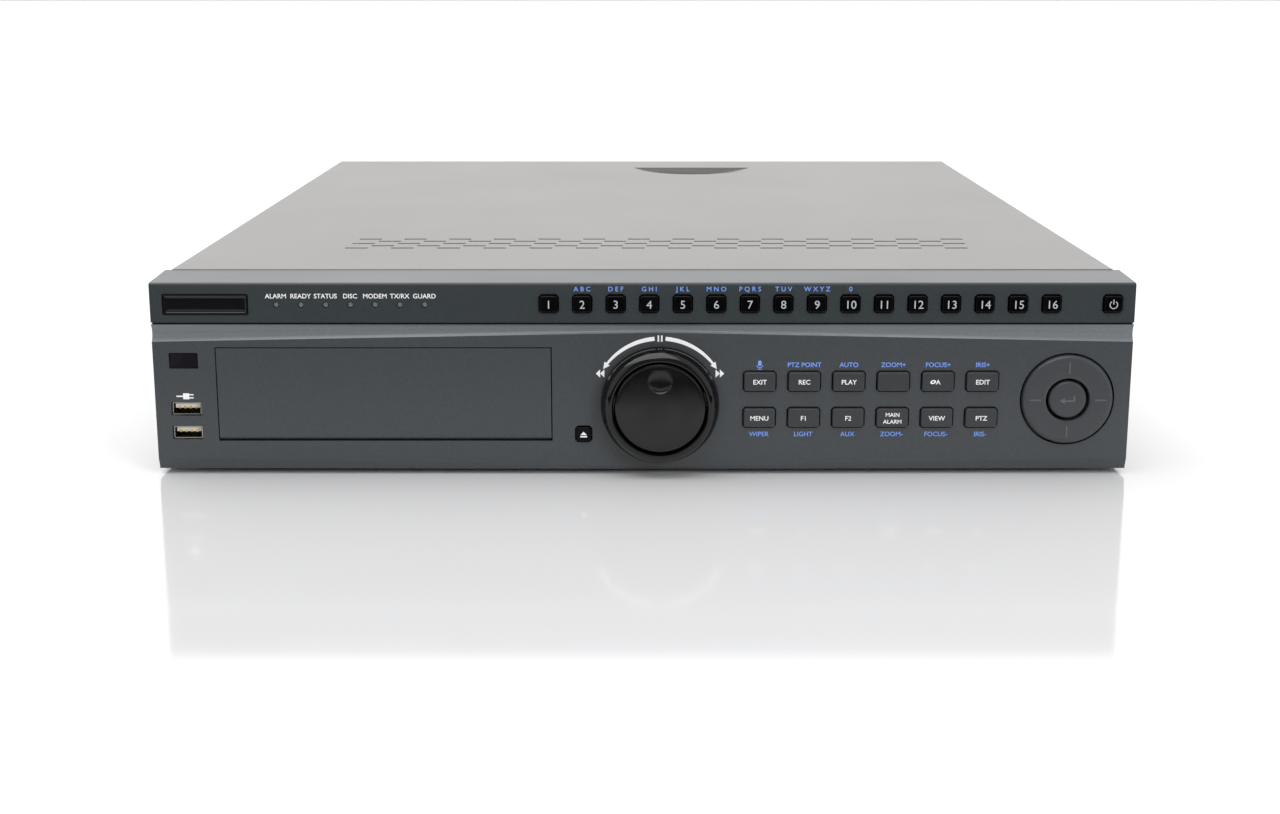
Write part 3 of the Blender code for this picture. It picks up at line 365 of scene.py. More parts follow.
def drawn_out(low, high, corner, levels, steps=6):
    """A block with four round corners whose front is drawn out in steps: levels lists each step's
    inset from the block's sides and its y, from the sides to the face."""
    low, high = Vector(low), Vector(high)
    bm = box_shape((low.x, levels[0][1], low.z), high, corner, steps=steps)
    face = min(bm.faces, key=lambda f: f.calc_center_median().y)
    centre = Matrix.Translation(-(low + high) / 2)
    wide, tall = high.x - low.x, high.z - low.z
    for (before, start), (inset, end) in zip(levels, levels[1:]):
        drawn = bmesh.ops.extrude_face_region(bm, geom=[face])["geom"]
        bmesh.ops.delete(bm, geom=[face], context="FACES_ONLY")
        verts = [v for v in drawn if isinstance(v, bmesh.types.BMVert)]
        face = next(f for f in drawn if isinstance(f, bmesh.types.BMFace))
        ratio = ((wide - 2 * inset) / (wide - 2 * before), 1, (tall - 2 * inset) / (tall - 2 * before))
        bmesh.ops.scale(bm, verts=verts, vec=ratio, space=centre)
        bmesh.ops.translate(bm, verts=verts, vec=(0, end - start, 0))
    bmesh.ops.recalc_face_normals(bm, faces=bm.faces)
    return bm


def rim_levels(face, width):
    """Levels of a cap whose sides turn into its face over a rounded rim."""
    turn = [math.pi / 2 * (1 - i / 5) for i in range(6)]
    return [(width * (1 - math.sin(a)), face + width * 0.8 * (1 - math.cos(a))) for a in turn]


def round_edges(bm, edges, radius, steps):
    """Rounds edges with that radius, in that many steps."""
    bmesh.ops.bevel(
        bm, geom=edges, offset=radius, offset_type="OFFSET", segments=steps, profile=0.5,
        affect="EDGES", clamp_overlap=True, material=-1,
    )


TURN = {
    "X": Matrix.Rotation(math.pi / 2, 4, "Y"),
    "Y": Matrix.Rotation(-math.pi / 2, 4, "X"),
    "Z": Matrix.Identity(4),
}


def turned(profile, origin, steps=96, axis="Y", closed=True):
    """A shape turned about an axis through origin. The profile's corners are (radius, depth) in metres;
    an end on the axis stays there, and otherwise a closed profile runs back to its start."""
    bm = bmesh.new()
    verts = [bm.verts.new((r, 0, d)) for r, d in profile]
    pairs = list(zip(verts, verts[1:]))
    if closed and (profile[0][0] > 0 or profile[-1][0] > 0):
        pairs.append((verts[-1], verts[0]))
    edges = [bm.edges.new(pair) for pair in pairs]
    bmesh.ops.spin(
        bm, geom=verts + edges, cent=(0, 0, 0), axis=(0, 0, 1), angle=2 * math.pi, steps=steps,
        use_merge=True,
    )
    bmesh.ops.remove_doubles(bm, verts=bm.verts, dist=1e-7)
    bmesh.ops.recalc_face_normals(bm, faces=bm.faces)
    bm.transform(Matrix.Translation(origin) @ TURN[axis])
    return bm


def mm(*pairs):
    """Profile corners given in millimetres."""
    return [(r * MM, d * MM) for r, d in pairs]


def plate_shape(outline, y, thickness):
    """A flat outline of (x, z) corners with its face at y, given a thickness behind it."""
    bm = bmesh.new()
    face = bm.faces.new([bm.verts.new((x, y, z)) for x, z in outline])
    drawn = bmesh.ops.extrude_face_region(bm, geom=[face])["geom"]
    moved = [v for v in drawn if isinstance(v, bmesh.types.BMVert)]
    bmesh.ops.translate(bm, verts=moved, vec=(0, thickness, 0))
    bmesh.ops.recalc_face_normals(bm, faces=bm.faces)
    return bm


def band_outline(centre, inner, outer, start, end, steps=32):
    """Corners of a flat arc-shaped band about centre, in degrees clockwise from straight up."""
    turn = [math.radians(start + (end - start) * i / steps) for i in range(steps + 1)]
    far = [(centre[0] + outer * math.sin(a), centre[1] + outer * math.cos(a)) for a in turn]
    near = [(centre[0] + inner * math.sin(a), centre[1] + inner * math.cos(a)) for a in reversed(turn)]
    return far + near


def fine_copy(node, rounds=(), flat=0.6):
    """A CAD node's mesh with triangles less than flat degrees apart merged. rounds lists (pick, radius,
    steps): the sharp edges that pick accepts are rounded."""
    bm = bmesh.new()
    bm.from_mesh(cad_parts[node].data)
    bmesh.ops.remove_doubles(bm, verts=bm.verts, dist=2e-6)
    bmesh.ops.dissolve_limit(bm, angle_limit=math.radians(flat), verts=bm.verts, edges=bm.edges)
    for pick, radius, steps in rounds:
        round_sharp(bm, pick, radius, steps)
    return bm


def round_sharp(bm, pick, radius, steps):
    """Rounds the sharp edges that pick accepts."""
    least = math.radians(28)
    sharp = [e for e in bm.edges if len(e.link_faces) == 2 and e.calc_face_angle(0) > least]
    round_edges(bm, [e for e in sharp if pick(e)], radius, steps)


def on_plane(axis, value, reach=1e-5):
    """Accepts edges that lie in the plane where an axis has this value."""
    i = "XYZ".index(axis)
    return lambda e: all(abs(v.co[i] - value) < reach for v in e.verts)


def piece(name, bm, finish, body, stands_for=(), crease=32.0):
    """Shows a bmesh as a piece of the recorder that moves with a body."""
    mesh = bpy.data.meshes.new(name)
    bm.to_mesh(mesh)
    bm.free()
    mesh.materials.append(FINISHES[finish])
    mesh.shade_smooth()
    mesh.set_sharp_from_angle(angle=math.radians(crease))
    made = bpy.data.objects.new(name, mesh)
    bpy.context.scene.collection.objects.link(made)
    flat = made.modifiers.new("flat_faces", "WEIGHTED_NORMAL")
    flat.keep_sharp = True
    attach(made, body)
    if stands_for:
        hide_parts(*stands_for)
    return made


def crisp_border(mesh, index):
    """Keeps the outline of the faces that have this material crisp."""
    faces = [face for face in mesh.polygons if face.material_index == index]
    used = Counter(key for face in faces for key in face.edge_keys)
    for edge in mesh.edges:
        if used[edge.key] == 1:
            edge.use_edge_sharp = True


def coat_node(node, finish):
    """Gives a CAD node that stays in view its material."""
    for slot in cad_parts[node].material_slots:
        slot.material = FINISHES[finish]


CAPITAL = 0.729  # capital height of the built-in font at size 1
FACING = {
    "FRONT": Matrix.Rotation(math.pi / 2, 4, "X"),
    "REAR": Matrix.Rotation(math.pi, 4, "Z") @ Matrix.Rotation(math.pi / 2, 4, "X"),
}


def words_shape(words, spot, height, weight=0.01, facing="FRONT"):
    """Printed words with capitals of that height, centred on spot; weight thickens the strokes."""
    curve = bpy.data.curves.new("words", "FONT")
    curve.body = words
    curve.align_x = "CENTER"
    curve.size = height / CAPITAL
    curve.offset = weight * height
    curve.extrude = sizes().print_thickness / 2
    curve.resolution_u = 3
    holder = bpy.data.objects.new("words", curve)
    bpy.context.scene.collection.objects.link(holder)
    bpy.context.view_layer.update()
    evaluated = holder.evaluated_get(bpy.context.evaluated_depsgraph_get())
    mesh = bpy.data.meshes.new_from_object(evaluated)
    bpy.data.objects.remove(holder)
    bpy.data.curves.remove(curve)
    bm = bmesh.new()
    bm.from_mesh(mesh)
    bpy.data.meshes.remove(mesh)
    bm.transform(Matrix.Translation(spot) @ FACING[facing] @ Matrix.Translation((0, -height / 2, 0)))
    return bm


def at(x, y, z):
    """A place with x and z in millimetres and y as a plane's place in metres."""
    return Vector((x * MM, y, z * MM))


def print_layer(y):
    """Where a layer of ink on the plane y begins, and its thickness."""
    thick = sizes().print_thickness
    return y - thick / 2, thick


def ink(name, shapes, finish, body):
    """Shows printed shapes as one piece."""
    piece(name, gathered(shapes), finish, body, crease=30.0)


# Operators, from the case to the stage
class RECORDER_OT_finishes(Operator):
    """Makes every material that the recorder uses"""

    bl_idname = "recorder.finishes"
    bl_label = "Make finishes"

    def execute(self, context):
        make_finishes()
        return {"FINISHED"}


class RECORDER_OT_case(Operator):
    """Rounds the folded edges of the cover and the pan, and coats them and the feet"""

    bl_idname = "recorder.case"
    bl_label = "Case"

    def execute(self, context):
        cover_edges = [(on_plane("Z", corners("top_cover")[1].z), 0.5 * MM, 2)]
        piece("cover", fine_copy("top_cover", cover_edges, 0.03), "cover", "case", ["top_cover"])
        half = corners("chassis")[1].x

        def rear_folds(edge):
            outer = all(abs(abs(v.co.x) - half) < 1e-5 for v in edge.verts)
            return outer and on_plane("Y", REAR)(edge)

        pan_edges = [(rear_folds, 0.72 * MM, 3)]
        piece("pan", fine_copy("chassis", pan_edges), "cover", "case", ["chassis"])
        for end in ("front", "rear"):
            for side in ("left", "right"):
                self.foot(f"{end}_{side}_foot")
        return {"FINISHED"}

    def foot(self, node):
        """A round foot with a hollow for its screw and a tapered side."""
        low, high = corners(node)
        centre = (low + high) / 2
        radius, height = (high.x - low.x) / 2 / MM, (high.z - low.z) / MM
        profile = mm(
            (0, 1.2), (4.0, 1.2), (4.6, 0.0), (radius - 2.0, 0.0), (radius - 1.2, 0.5),
            (radius - 0.2, height - 0.6), (radius - 0.5, height), (0, height),
        )
        shape = turned(profile, (centre.x, centre.y, low.z), 48, "Z")
        piece(node.replace("_foot", "_rubber_foot"), shape, "rubber", "case", [node])


class RECORDER_OT_fascia(Operator):
    """Rounds the strip and the panel of the fascia where fingers and light find their edges"""

    bl_idname = "recorder.fascia"
    bl_label = "Fascia"

    def execute(self, context):
        half = corners("upper_bezel")[1].x
        radius = sizes().edge_round

        def hole_edges(edge):
            outside = all(abs(abs(v.co.x) - half) < 1e-5 for v in edge.verts)
            return on_plane("Y", FRONT)(edge) and not outside

        strip = fine_copy("upper_bezel", [(hole_edges, radius, 2)])
        piece("fascia_strip", strip, "strip", "case", ["upper_bezel"])
        panel = fine_copy("lower_bezel", flat=0.03)
        self.even_cove(panel)
        round_sharp(panel, hole_edges, radius, 2)
        made = piece("fascia_panel", panel, "panel", "case", ["lower_bezel"])
        # The hollow band gets the lighter cove finish, a painted sheen
        made.data.materials.append(FINISHES["cove"])
        crisp_border(made.data, 1)
        self.groove_backing(half - 0.2 * MM)
        flap_front = on_plane("Y", corners("drive_flap")[0].y)
        flap = fine_copy("drive_flap", [(flap_front, radius, 2)])
        piece("disc_flap", flap, "panel", "drive_flap", ["drive_flap"])
        return {"FINISHED"}

    def groove_backing(self, half):
        """Fills the depth of the groove between the strip and the panel with black, a painted shade for the
        deep gap.
        """
        low = (-half, FRONT + 1.5 * MM, corners("lower_bezel")[1].z)
        high = (half, FRONT + 25 * MM, corners("upper_bezel")[0].z)
        piece("groove_backing", box_shape(low, high), "black", "case")

    def even_cove(self, panel):
        """Gives the hollow band under the strip its own, lighter finish, a painted sheen, and divides its
        long strips along them.
        """
        for face in panel.faces:
            face.material_index = int(self.in_cove(face))
        rails = self.cove_rails(panel)
        columns = {}
        for vert in dict.fromkeys(vert for edge in rails for vert in edge.verts):
            columns.setdefault(round(vert.co.x, 5), []).append(vert)
        rank = {}
        for column in columns.values():
            rank.update((vert, i) for i, vert in enumerate(sorted(column, key=lambda v: v.co.z)))
        diagonals = [edge for edge in rails if rank[edge.verts[0]] != rank[edge.verts[1]]]
        bmesh.ops.dissolve_edges(panel, edges=diagonals)
        bmesh.ops.subdivide_edges(panel, edges=self.cove_rails(panel), cuts=24)

    def cove_rails(self, panel):
        """The cove's long edges."""
        cove = [face for face in panel.faces if face.material_index == 1]
        edges = dict.fromkeys(edge for face in cove for edge in face.edges)
        return [e for e in edges if abs(e.verts[0].co.x - e.verts[1].co.x) > 50 * MM]

    def in_cove(self, face):
        """Whether a face of the panel is part of the hollow band under the strip."""
        brow = 61.5 * MM
        spot = face.calc_center_median()
        sunk = 0.03 * MM < spot.y - FRONT < 1.6 * MM
        return sunk and spot.z > brow and abs(face.normal.y) > 0.2


def lamp_places():
    """Centres of the seven lamps on the front face."""
    low, high = corners("indicator_light_guide")
    end = 2.6 * MM  # from the bar's end to its first pin
    pitch = (high.x - low.x - 2 * end) / 6
    return [Vector((low.x + end + i * pitch, FRONT, (low.z + high.z) / 2)) for i in range(7)]


class RECORDER_OT_badge(Operator):
    """Blank dished badge, infrared window and indicator pins"""

    bl_idname = "recorder.badge"
    bl_label = "Badge, window and lamps"

    def execute(self, context):
        low, high = corners("badge_plate")
        piece("blank_badge", self.dished_plate(low, high), "badge", "case", ["badge_plate"])
        low, high = corners("infrared_window")
        inset = Vector((1.5 * MM, 0, 1.5 * MM))
        front = drawn_out(low + inset, high - inset, 0.8 * MM, rim_levels(low.y, 0.25 * MM))
        rim = box_shape((low.x, high.y - 1.3 * MM, low.z), high)
        piece("infrared_lens", gathered([front, rim]), "window", "case", ["infrared_window"])
        dome = mm((0, -0.05), (0.6, 0.02), (1.0, 0.2), (1.25, 0.5), (1.25, 5.8), (0, 5.8))
        shapes = [turned(dome, spot, 24) for spot in lamp_places()]
        low, high = corners("indicator_light_guide")
        shapes.append(box_shape((low.x, FRONT + 5.5 * MM, low.z), high))
        piece("indicator_pins", gathered(shapes), "lens", "case", ["indicator_light_guide"])
        return {"FINISHED"}

    def dished_plate(self, low, high):
        """A plate whose face sinks in a shallow dish inside a raised rim."""
        rim = [(0.0, 0.3), (0.1, 0.08), (0.3, 0.0), (0.75, 0.0), (0.9, 0.06), (1.1, 0.3)]
        dish = [(1.5, 0.48), (2.2, 0.58), (3.4, 0.62)]
        levels = [(inset * MM, low.y + sink * MM) for inset, sink in rim + dish]
        return drawn_out(low, high, 0.8 * MM, levels)


USB_ROWS = (31.1, 19.9)  # middles of the two receptacles, in millimetres above the floor


class RECORDER_OT_usb(Operator):
    """USB receptacles: drawn shells, nylon tongues and gold contacts"""

    bl_idname = "recorder.usb"
    bl_label = "USB receptacles"

    def execute(self, context):
        mouth = corners("usb_port_pair")[0].y
        shells = fine_copy("usb_port_pair", [(on_plane("Y", mouth), 0.12 * MM, 2)])
        piece("usb_shells", shells, "nickel", "case", ["usb_port_pair"])
        centre = middle("usb_port_pair").x / MM
        tongues, contacts, shade_plates = [], [], []
        for z in USB_ROWS:
            low = at(centre - 5.6, mouth + 1.6 * MM, z - 0.1)
            high = at(centre + 5.6, mouth + 12 * MM, z + 1.95)
            tongues.append(box_shape(low, high, 0.2 * MM, 0.15 * MM))
            for i in range(4):
                x = centre + (i - 1.5) * 2.5
                low = at(x - 0.5, mouth + 1.45 * MM, z - 0.35)
                high = at(x + 0.5, mouth + 10 * MM, z + 0.55)
                contacts.append(box_shape(low, high))
            # A black plate deep in each receptacle: painted shade for its dark inside
            low = at(centre - 5.8, mouth + 9 * MM, z - 2.3)
            high = at(centre + 5.8, mouth + 9.4 * MM, z + 2.3)
            shade_plates.append(box_shape(low, high))
        piece("usb_tongues", gathered(tongues), "socket_white", "case")
        piece("usb_contacts", gathered(contacts), "gold", "case")
        piece("usb_painted_shade_backs", gathered(shade_plates), "black", "case")
        return {"FINISHED"}


def key_shape(node, lip=1.1, gap=0.6):
    """A key's rounded cap, a gap smaller than its hole, with its retaining flange and stem."""
    low, high = corners(node)
    half_x = (high.x - low.x) / 2 - (lip + gap) * MM
    half_z = (high.z - low.z) / 2 - (lip + gap) * MM
    c = (low + high) / 2
    cap_back, flange = low.y + 5.4 * MM, FRONT + 3.4 * MM
    cap_low = (c.x - half_x, low.y, c.z - half_z)
    cap_high = (c.x + half_x, cap_back, c.z + half_z)
    cap = drawn_out(cap_low, cap_high, sizes().key_corner, rim_levels(low.y, sizes().key_rim))
    lip_plate = box_shape((low.x, flange, low.z), (high.x, flange + 1.0 * MM, high.z))
    stem = box_shape((c.x - 2 * MM, flange + 0.6 * MM, c.z - 2 * MM), (c.x + 2 * MM, high.y, c.z + 2 * MM))
    return gathered([cap, lip_plate, stem])


def key_face(node):
    """Middle of a key's face."""
    c = middle(node)
    return Vector((c.x, corners(node)[0].y, c.z))


class RECORDER_OT_channel_keys(Operator):
    """Sixteen numbered channel keys and the power key, in polished black"""

    bl_idname = "recorder.channel_keys"
    bl_label = "Channel keys"

    def execute(self, context):
        for i, node in enumerate(CHANNEL_KEYS, 1):
            piece(node.replace("key", "cap"), key_shape(node), "channel_key", node, [node])
            spot = key_face(node)
            number = words_shape(str(i), spot, sizes().numeral, 0.0)
            piece(node.replace("key", "numeral"), number, "grey_ink", node)
        piece("power_cap", key_shape("power_key"), "channel_key", "power_key", ["power_key"])
        piece("power_mark", self.power_mark(key_face("power_key")), "grey_ink", "power_key")
        return {"FINISHED"}

    def power_mark(self, spot):
        """A ring open at its top, with a stroke through the gap."""
        y, thick = print_layer(spot.y)
        outline = band_outline((spot.x, spot.z - 0.2 * MM), 1.5 * MM, 1.9 * MM, 32, 328)
        half = 0.2 * MM
        stroke = box_shape((spot.x - half, y, spot.z), (spot.x + half, y + thick, spot.z + 2.2 * MM))
        return gathered([plate_shape(outline, y, thick), stroke])


# Lines of white print on each function key; the fourth key of the upper row is plain
KEY_WORDS = {
    "function_key_upper_1": ("EXIT",),
    "function_key_upper_2": ("REC",),
    "function_key_upper_3": ("PLAY",),
    "function_key_upper_5": ("A",),
    "function_key_upper_6": ("EDIT",),
    "function_key_lower_1": ("MENU",),
    "function_key_lower_2": ("F1",),
    "function_key_lower_3": ("F2",),
    "function_key_lower_4": ("MAIN", "ALARM"),
    "function_key_lower_5": ("VIEW",),
    "function_key_lower_6": ("PTZ",),
}


class RECORDER_OT_function_keys(Operator):
    """Twelve satin function keys with white legends, and the eject key"""

    bl_idname = "recorder.function_keys"
    bl_label = "Function keys"

    def execute(self, context):
        for node in FUNCTION_KEYS:
            piece(node.replace("_key_", "_cap_"), key_shape(node), "function_key", node, [node])
            if node in KEY_WORDS:
                self.legend(node, KEY_WORDS[node])
        piece("eject_cap", key_shape("eject_key"), "channel_key", "eject_key", ["eject_key"])
        piece("eject_mark", self.eject_mark(key_face("eject_key")), "white_ink", "eject_key")
        return {"FINISHED"}

    def legend(self, node, lines):
        """One or two lines of print on a key."""
        spot, height = key_face(node), sizes().key_print
        shapes = []
        for row, words in enumerate(lines):
            lift = (len(lines) - 1 - 2 * row) * height * 0.72
            size = height if len(lines) == 1 else height * 0.86
            shapes.append(words_shape(words, spot + Vector((0, 0, lift)), size, 0.014))
        if node == "function_key_upper_5":
            shapes.append(self.entry_mark(spot))
        piece(node.replace("_key_", "_legend_"), gathered(shapes), "white_ink", node)

    def eject_mark(self, spot):
        """A triangle over a bar."""
        y, thick = print_layer(spot.y)
        half = 1.55 * MM
        foot = spot.z - 0.2 * MM
        outline = [(spot.x - half, foot), (spot.x + half, foot), (spot.x, spot.z + 1.3 * MM)]
        low = (spot.x - half, y, spot.z - 1.3 * MM)
        high = (spot.x + half, y + thick, spot.z - 0.65 * MM)
        return gathered([plate_shape(outline, y, thick), box_shape(low, high)])

    def entry_mark(self, spot):
        """A tilted oval beside the letter, for changing how text is entered."""
        oval = band_outline((0, 0), 0.45 * MM, 0.95 * MM, 0, 359.9, 24)
        tilted = [(spot.x - 2.3 * MM + x * 1.3 + 0.3 * z, spot.z + z) for x, z in oval]
        return plate_shape(tilted, *print_layer(spot.y))


class RECORDER_OT_dials(Operator):
    """Shuttle ring with a flared bevel, jog dial with a finger dimple, and the encoder behind them"""

    bl_idname = "recorder.dials"
    bl_label = "Jog and shuttle dials"

    def execute(self, context):
        low, high = corners("shuttle_ring")
        centre = Vector(((low.x + high.x) / 2, FRONT, (low.z + high.z) / 2))
        reach = (FRONT - low.y) / MM
        outer = (high.x - low.x) / 2 / MM
        ring = mm(
            (21.5, -8.7), (21.9, 0.15 - reach), (22.3, -reach), (23.0, -reach), (23.5, 0.1 - reach),
            (24.4, -8.9), (25.4, -7.7), (26.2, -6.3), (26.8, -4.6), (outer, -2.6), (outer, -0.9),
            (outer - 0.25, -0.5), (22.4, -0.5), (22.4, 6.1), (3.8, 6.1), (3.8, 4.7), (21.3, 4.7),
            (21.3, -8.3),
        )
        piece("shuttle_wheel", turned(ring, centre, 144), "ring", "shuttle_ring", ["shuttle_ring"])
        piece("jog_wheel", self.jog_shape(centre), "dial", "jog_dial", ["jog_dial"])
        coat_node("jog_encoder", "nickel")
        return {"FINISHED"}

    def jog_shape(self, centre):
        """Flat disc with a softly rounded rim and a dished finger dimple near its top."""
        steps, face = 144, -8.85
        rim = [
            (18.0, face), (19.5, face), (20.1, -8.72), (20.55, -8.4), (20.78, -7.9), (20.8, -7.3),
            (20.8, -6.3),
        ]
        hub = [(5.0, -6.3), (5.0, 2.4), (1.8, 2.4), (1.8, -3.5), (0, -3.5)]
        body = turned(mm(*rim, *hub), centre, steps, closed=False)
        lip = [(5.8, face), (5.62, -8.82), (5.45, -8.72), (5.3, -8.55)]
        radius, depth, start = 5.15, 1.25, 0.45
        turn = [math.pi / 2 * i / 10 for i in range(1, 10)]
        bowl = [(radius * math.cos(a), face + start + (depth - start) * math.sin(a)) for a in turn]
        dimple = mm(*lip, *bowl, (0, face + depth))
        dish = turned(dimple, centre + Vector((0, 0, 12.4 * MM)), steps, closed=False)
        whole = gathered([body, dish])
        bmesh.ops.bridge_loops(whole, edges=[e for e in whole.edges if e.is_boundary])
        bmesh.ops.recalc_face_normals(whole, faces=whole.faces)
        return whole


class RECORDER_OT_direction_pad(Operator):
    """Direction ring with its four dashes, the enter key with its return mark, and the gimbal"""

    bl_idname = "recorder.direction_pad"
    bl_label = "Direction pad"

    def execute(self, context):
        low, high = corners("direction_ring")
        centre = Vector(((low.x + high.x) / 2, FRONT, (low.z + high.z) / 2))
        face = (FRONT - low.y) / MM
        ring = mm(
            (9.9, -1.0), (10.1, -1.5), (10.6, -1.85), (11.4, -2.0), (18.0, -face), (18.9, -face + 0.05),
            (19.7, -1.85), (20.3, -1.35), (20.65, -0.6), (20.7, 0.2), (20.7, 4.5), (22.6, 4.5), (22.6, 5.2),
            (9.9, 5.2),
        )
        shapes = [turned(ring, centre, 128)]
        for side in (-1, 1):
            z = centre.z + side * 17.2 * MM
            low = (centre.x - 2.5 * MM, FRONT + 4.8 * MM, z - 1.25 * MM)
            high = (centre.x + 2.5 * MM, FRONT + 6.7 * MM, z + 1.25 * MM)
            shapes.append(box_shape(low, high))
        piece("direction_disc", gathered(shapes), "pad", "direction_ring", ["direction_ring"])
        piece("direction_dashes", gathered(self.dashes(centre)), "dim_ink", "direction_ring")
        enter = mm(
            (0, -1.95), (7.0, -1.9), (7.7, -1.75), (8.3, -1.35), (8.6, -0.8), (8.7, -0.2), (8.7, 4.0),
            (3.0, 4.0), (3.0, 9.5), (0, 9.5),
        )
        piece("enter_cap", turned(enter, centre, 96), "pad", "enter_key", ["enter_key"])
        piece("enter_mark", self.return_mark(centre), "dim_ink", "enter_key")
        coat_node("direction_pivot", "black")
        return {"FINISHED"}

    def dashes(self, centre):
        """Four strokes that point away from the middle of the ring."""
        half, inner, outer = 0.28, 12.2, 17.6
        front, back = FRONT - 2.22 * MM, FRONT - 1.9 * MM
        for dx, dz in ((1, 0), (-1, 0), (0, 1), (0, -1)):
            near = Vector((dx * inner - abs(dz) * half, 0, dz * inner - abs(dx) * half)) * MM
            far = Vector((dx * outer + abs(dz) * half, 0, dz * outer + abs(dx) * half)) * MM
            xs, zs = sorted((near.x, far.x)), sorted((near.z, far.z))
            low = (centre.x + xs[0], front, centre.z + zs[0])
            high = (centre.x + xs[1], back, centre.z + zs[1])
            yield box_shape(low, high)

    def return_mark(self, centre):
        """A hooked arrow that points left."""
        y, thick = FRONT - 1.97 * MM, 0.05 * MM
        hook = [(-1.4, -0.35), (3.2, -0.35), (3.2, 2.4), (2.5, 2.4), (2.5, 0.35), (-1.4, 0.35)]
        head = [(-1.4, 1.5), (-1.4, -1.5), (-3.7, 0)]
        shapes = []
        for outline in (hook, head):
            placed = [(centre.x + x * MM, centre.z + (z - 0.5) * MM) for x, z in outline]
            shapes.append(plate_shape(placed, y, thick))
        return gathered(shapes)


PRINT_WEIGHT = 0.012  # how much bolder the fascia's legends are than the font, by their height


class RECORDER_OT_printing(Operator):
    """White and blue pad printing on the fascia"""

    bl_idname = "recorder.printing"
    bl_label = "Fascia printing"

    def execute(self, context):
        self.lamp_words()
        self.key_letters()
        self.function_legends()
        self.shuttle_scale()
        self.plug_mark()
        return {"FINISHED"}

    def lamp_words(self):
        """A word over each lamp."""
        words = ["ALARM", "READY", "STATUS", "DISC", "MODEM", "TX/RX", "GUARD"]
        lift = Vector((0, 0, 4.1 * MM))
        shapes = []
        for word, spot in zip(words, lamp_places()):
            shapes.append(words_shape(word, spot + lift, 2.2 * MM, PRINT_WEIGHT))
        ink("lamp_legends", shapes, "white_ink", "case")

    def key_letters(self):
        """Letters over the channel keys that enter text."""
        groups = ["ABC", "DEF", "GHI", "JKL", "MNO", "PQRS", "TUV", "WXYZ", "0"]
        shapes = []
        for node, group in zip(CHANNEL_KEYS[1:], groups):
            spot = middle(node)
            place = (spot.x, FRONT, spot.z + 6.85 * MM)
            shapes.append(words_shape(" ".join(group), place, sizes().small_print, PRINT_WEIGHT))
        ink("letter_legends", shapes, "blue_ink", "case")

    def function_legends(self):
        """Second names over and under the function keys, and a microphone over the first."""
        above = [None, "PTZ POINT", "AUTO", "ZOOM+", "FOCUS+", "IRIS+"]
        below = ["WIPER", "LIGHT", "AUX", "ZOOM-", "FOCUS-", "IRIS-"]
        shapes = []
        for row, lift, words in (("upper", 7.75, above), ("lower", -7.85, below)):
            for i, word in enumerate(words, 1):
                spot = middle(f"function_key_{row}_{i}")
                place = Vector((spot.x, FRONT, spot.z + lift * MM))
                if word:
                    shapes.append(words_shape(word, place, sizes().small_print, PRINT_WEIGHT))
                else:
                    shapes.append(self.microphone(place))
        ink("function_legends", shapes, "blue_ink", "case")

    def microphone(self, place):
        """A small capsule over a stand."""
        y, thick = print_layer(FRONT)
        low = (place.x - 0.8 * MM, y, place.z - 0.6 * MM)
        high = (place.x + 0.8 * MM, y + thick, place.z + 1.9 * MM)
        capsule = box_shape(low, high, 0.7 * MM)
        cup = plate_shape(band_outline((place.x, place.z), 1.25 * MM, 1.6 * MM, 100, 260), y, thick)
        low = (place.x - 0.9 * MM, y, place.z - 2.3 * MM)
        high = (place.x + 0.9 * MM, y + thick, place.z - 1.95 * MM)
        return gathered([capsule, cup, box_shape(low, high)])

    def shuttle_scale(self):
        """Arc over the dial in two halves with arrow tips, a pause mark between them and search marks."""
        centre = middle("shuttle_ring")
        radius, half = sizes().scale_radius, sizes().scale_stroke / 2
        y, thick = print_layer(FRONT)
        steps, wing = 32, 1.5 * MM
        shapes = []
        for side in (-1, 1):
            start, end, shoulder, point = [side * degrees for degrees in (4.7, 54, 51.8, 57.6)]
            turn = [start + (end - start) * i / steps for i in range(steps + 1)]
            taper = [half * (1 - 0.5 * (i / steps) ** 2) for i in range(steps + 1)]
            far = [self.on_ring(centre, radius + t, a) for a, t in zip(turn, taper)]
            near = [self.on_ring(centre, radius - t, a) for a, t in zip(turn, taper)]
            shapes.append(plate_shape(far + near[::-1], y, thick))
            tip = [
                self.on_ring(centre, radius - wing, shoulder),
                self.on_ring(centre, radius + wing, shoulder),
                self.on_ring(centre, radius, point),
            ]
            shapes.append(plate_shape(tip, y - 0.005 * MM, thick))
            x, z = centre.x + side * 0.78 * MM, centre.z + radius
            low = (x - 0.34 * MM, y, z - 1.45 * MM)
            high = (x + 0.34 * MM, y + thick, z + 1.45 * MM)
            shapes.append(box_shape(low, high))
            for step in (0, 1):
                x, z = centre.x + side * (25.3 + 1.95 * step) * MM, centre.z + 14.3 * MM
                arrow = [(x, z - 1.9 * MM), (x, z + 1.9 * MM), (x + side * 1.95 * MM, z)]
                shapes.append(plate_shape(arrow, y, thick))
        ink("shuttle_scale", shapes, "white_ink", "case")

    def on_ring(self, centre, radius, degrees):
        """A place on a circle about centre, clockwise from straight up."""
        a = math.radians(degrees)
        return (centre.x + radius * math.sin(a), centre.z + radius * math.cos(a))

    def plug_mark(self):
        """A generic plug: a body with two prongs and a lead."""
        x, z = middle("usb_port_pair").x / MM, 37.1
        y, thick = print_layer(FRONT)
        shapes = []
        for left, right, bottom, top in (
            (-1.2, 1.6, -1.4, 1.4), (1.6, 3.6, 0.45, 1.0), (1.6, 3.6, -1.0, -0.45), (-4.2, -1.2, -0.3, 0.3),
        ):
            shapes.append(box_shape(at(x + left, y, z + bottom), at(x + right, y + thick, z + top)))
        ink("plug_mark", shapes, "white_ink", "case")


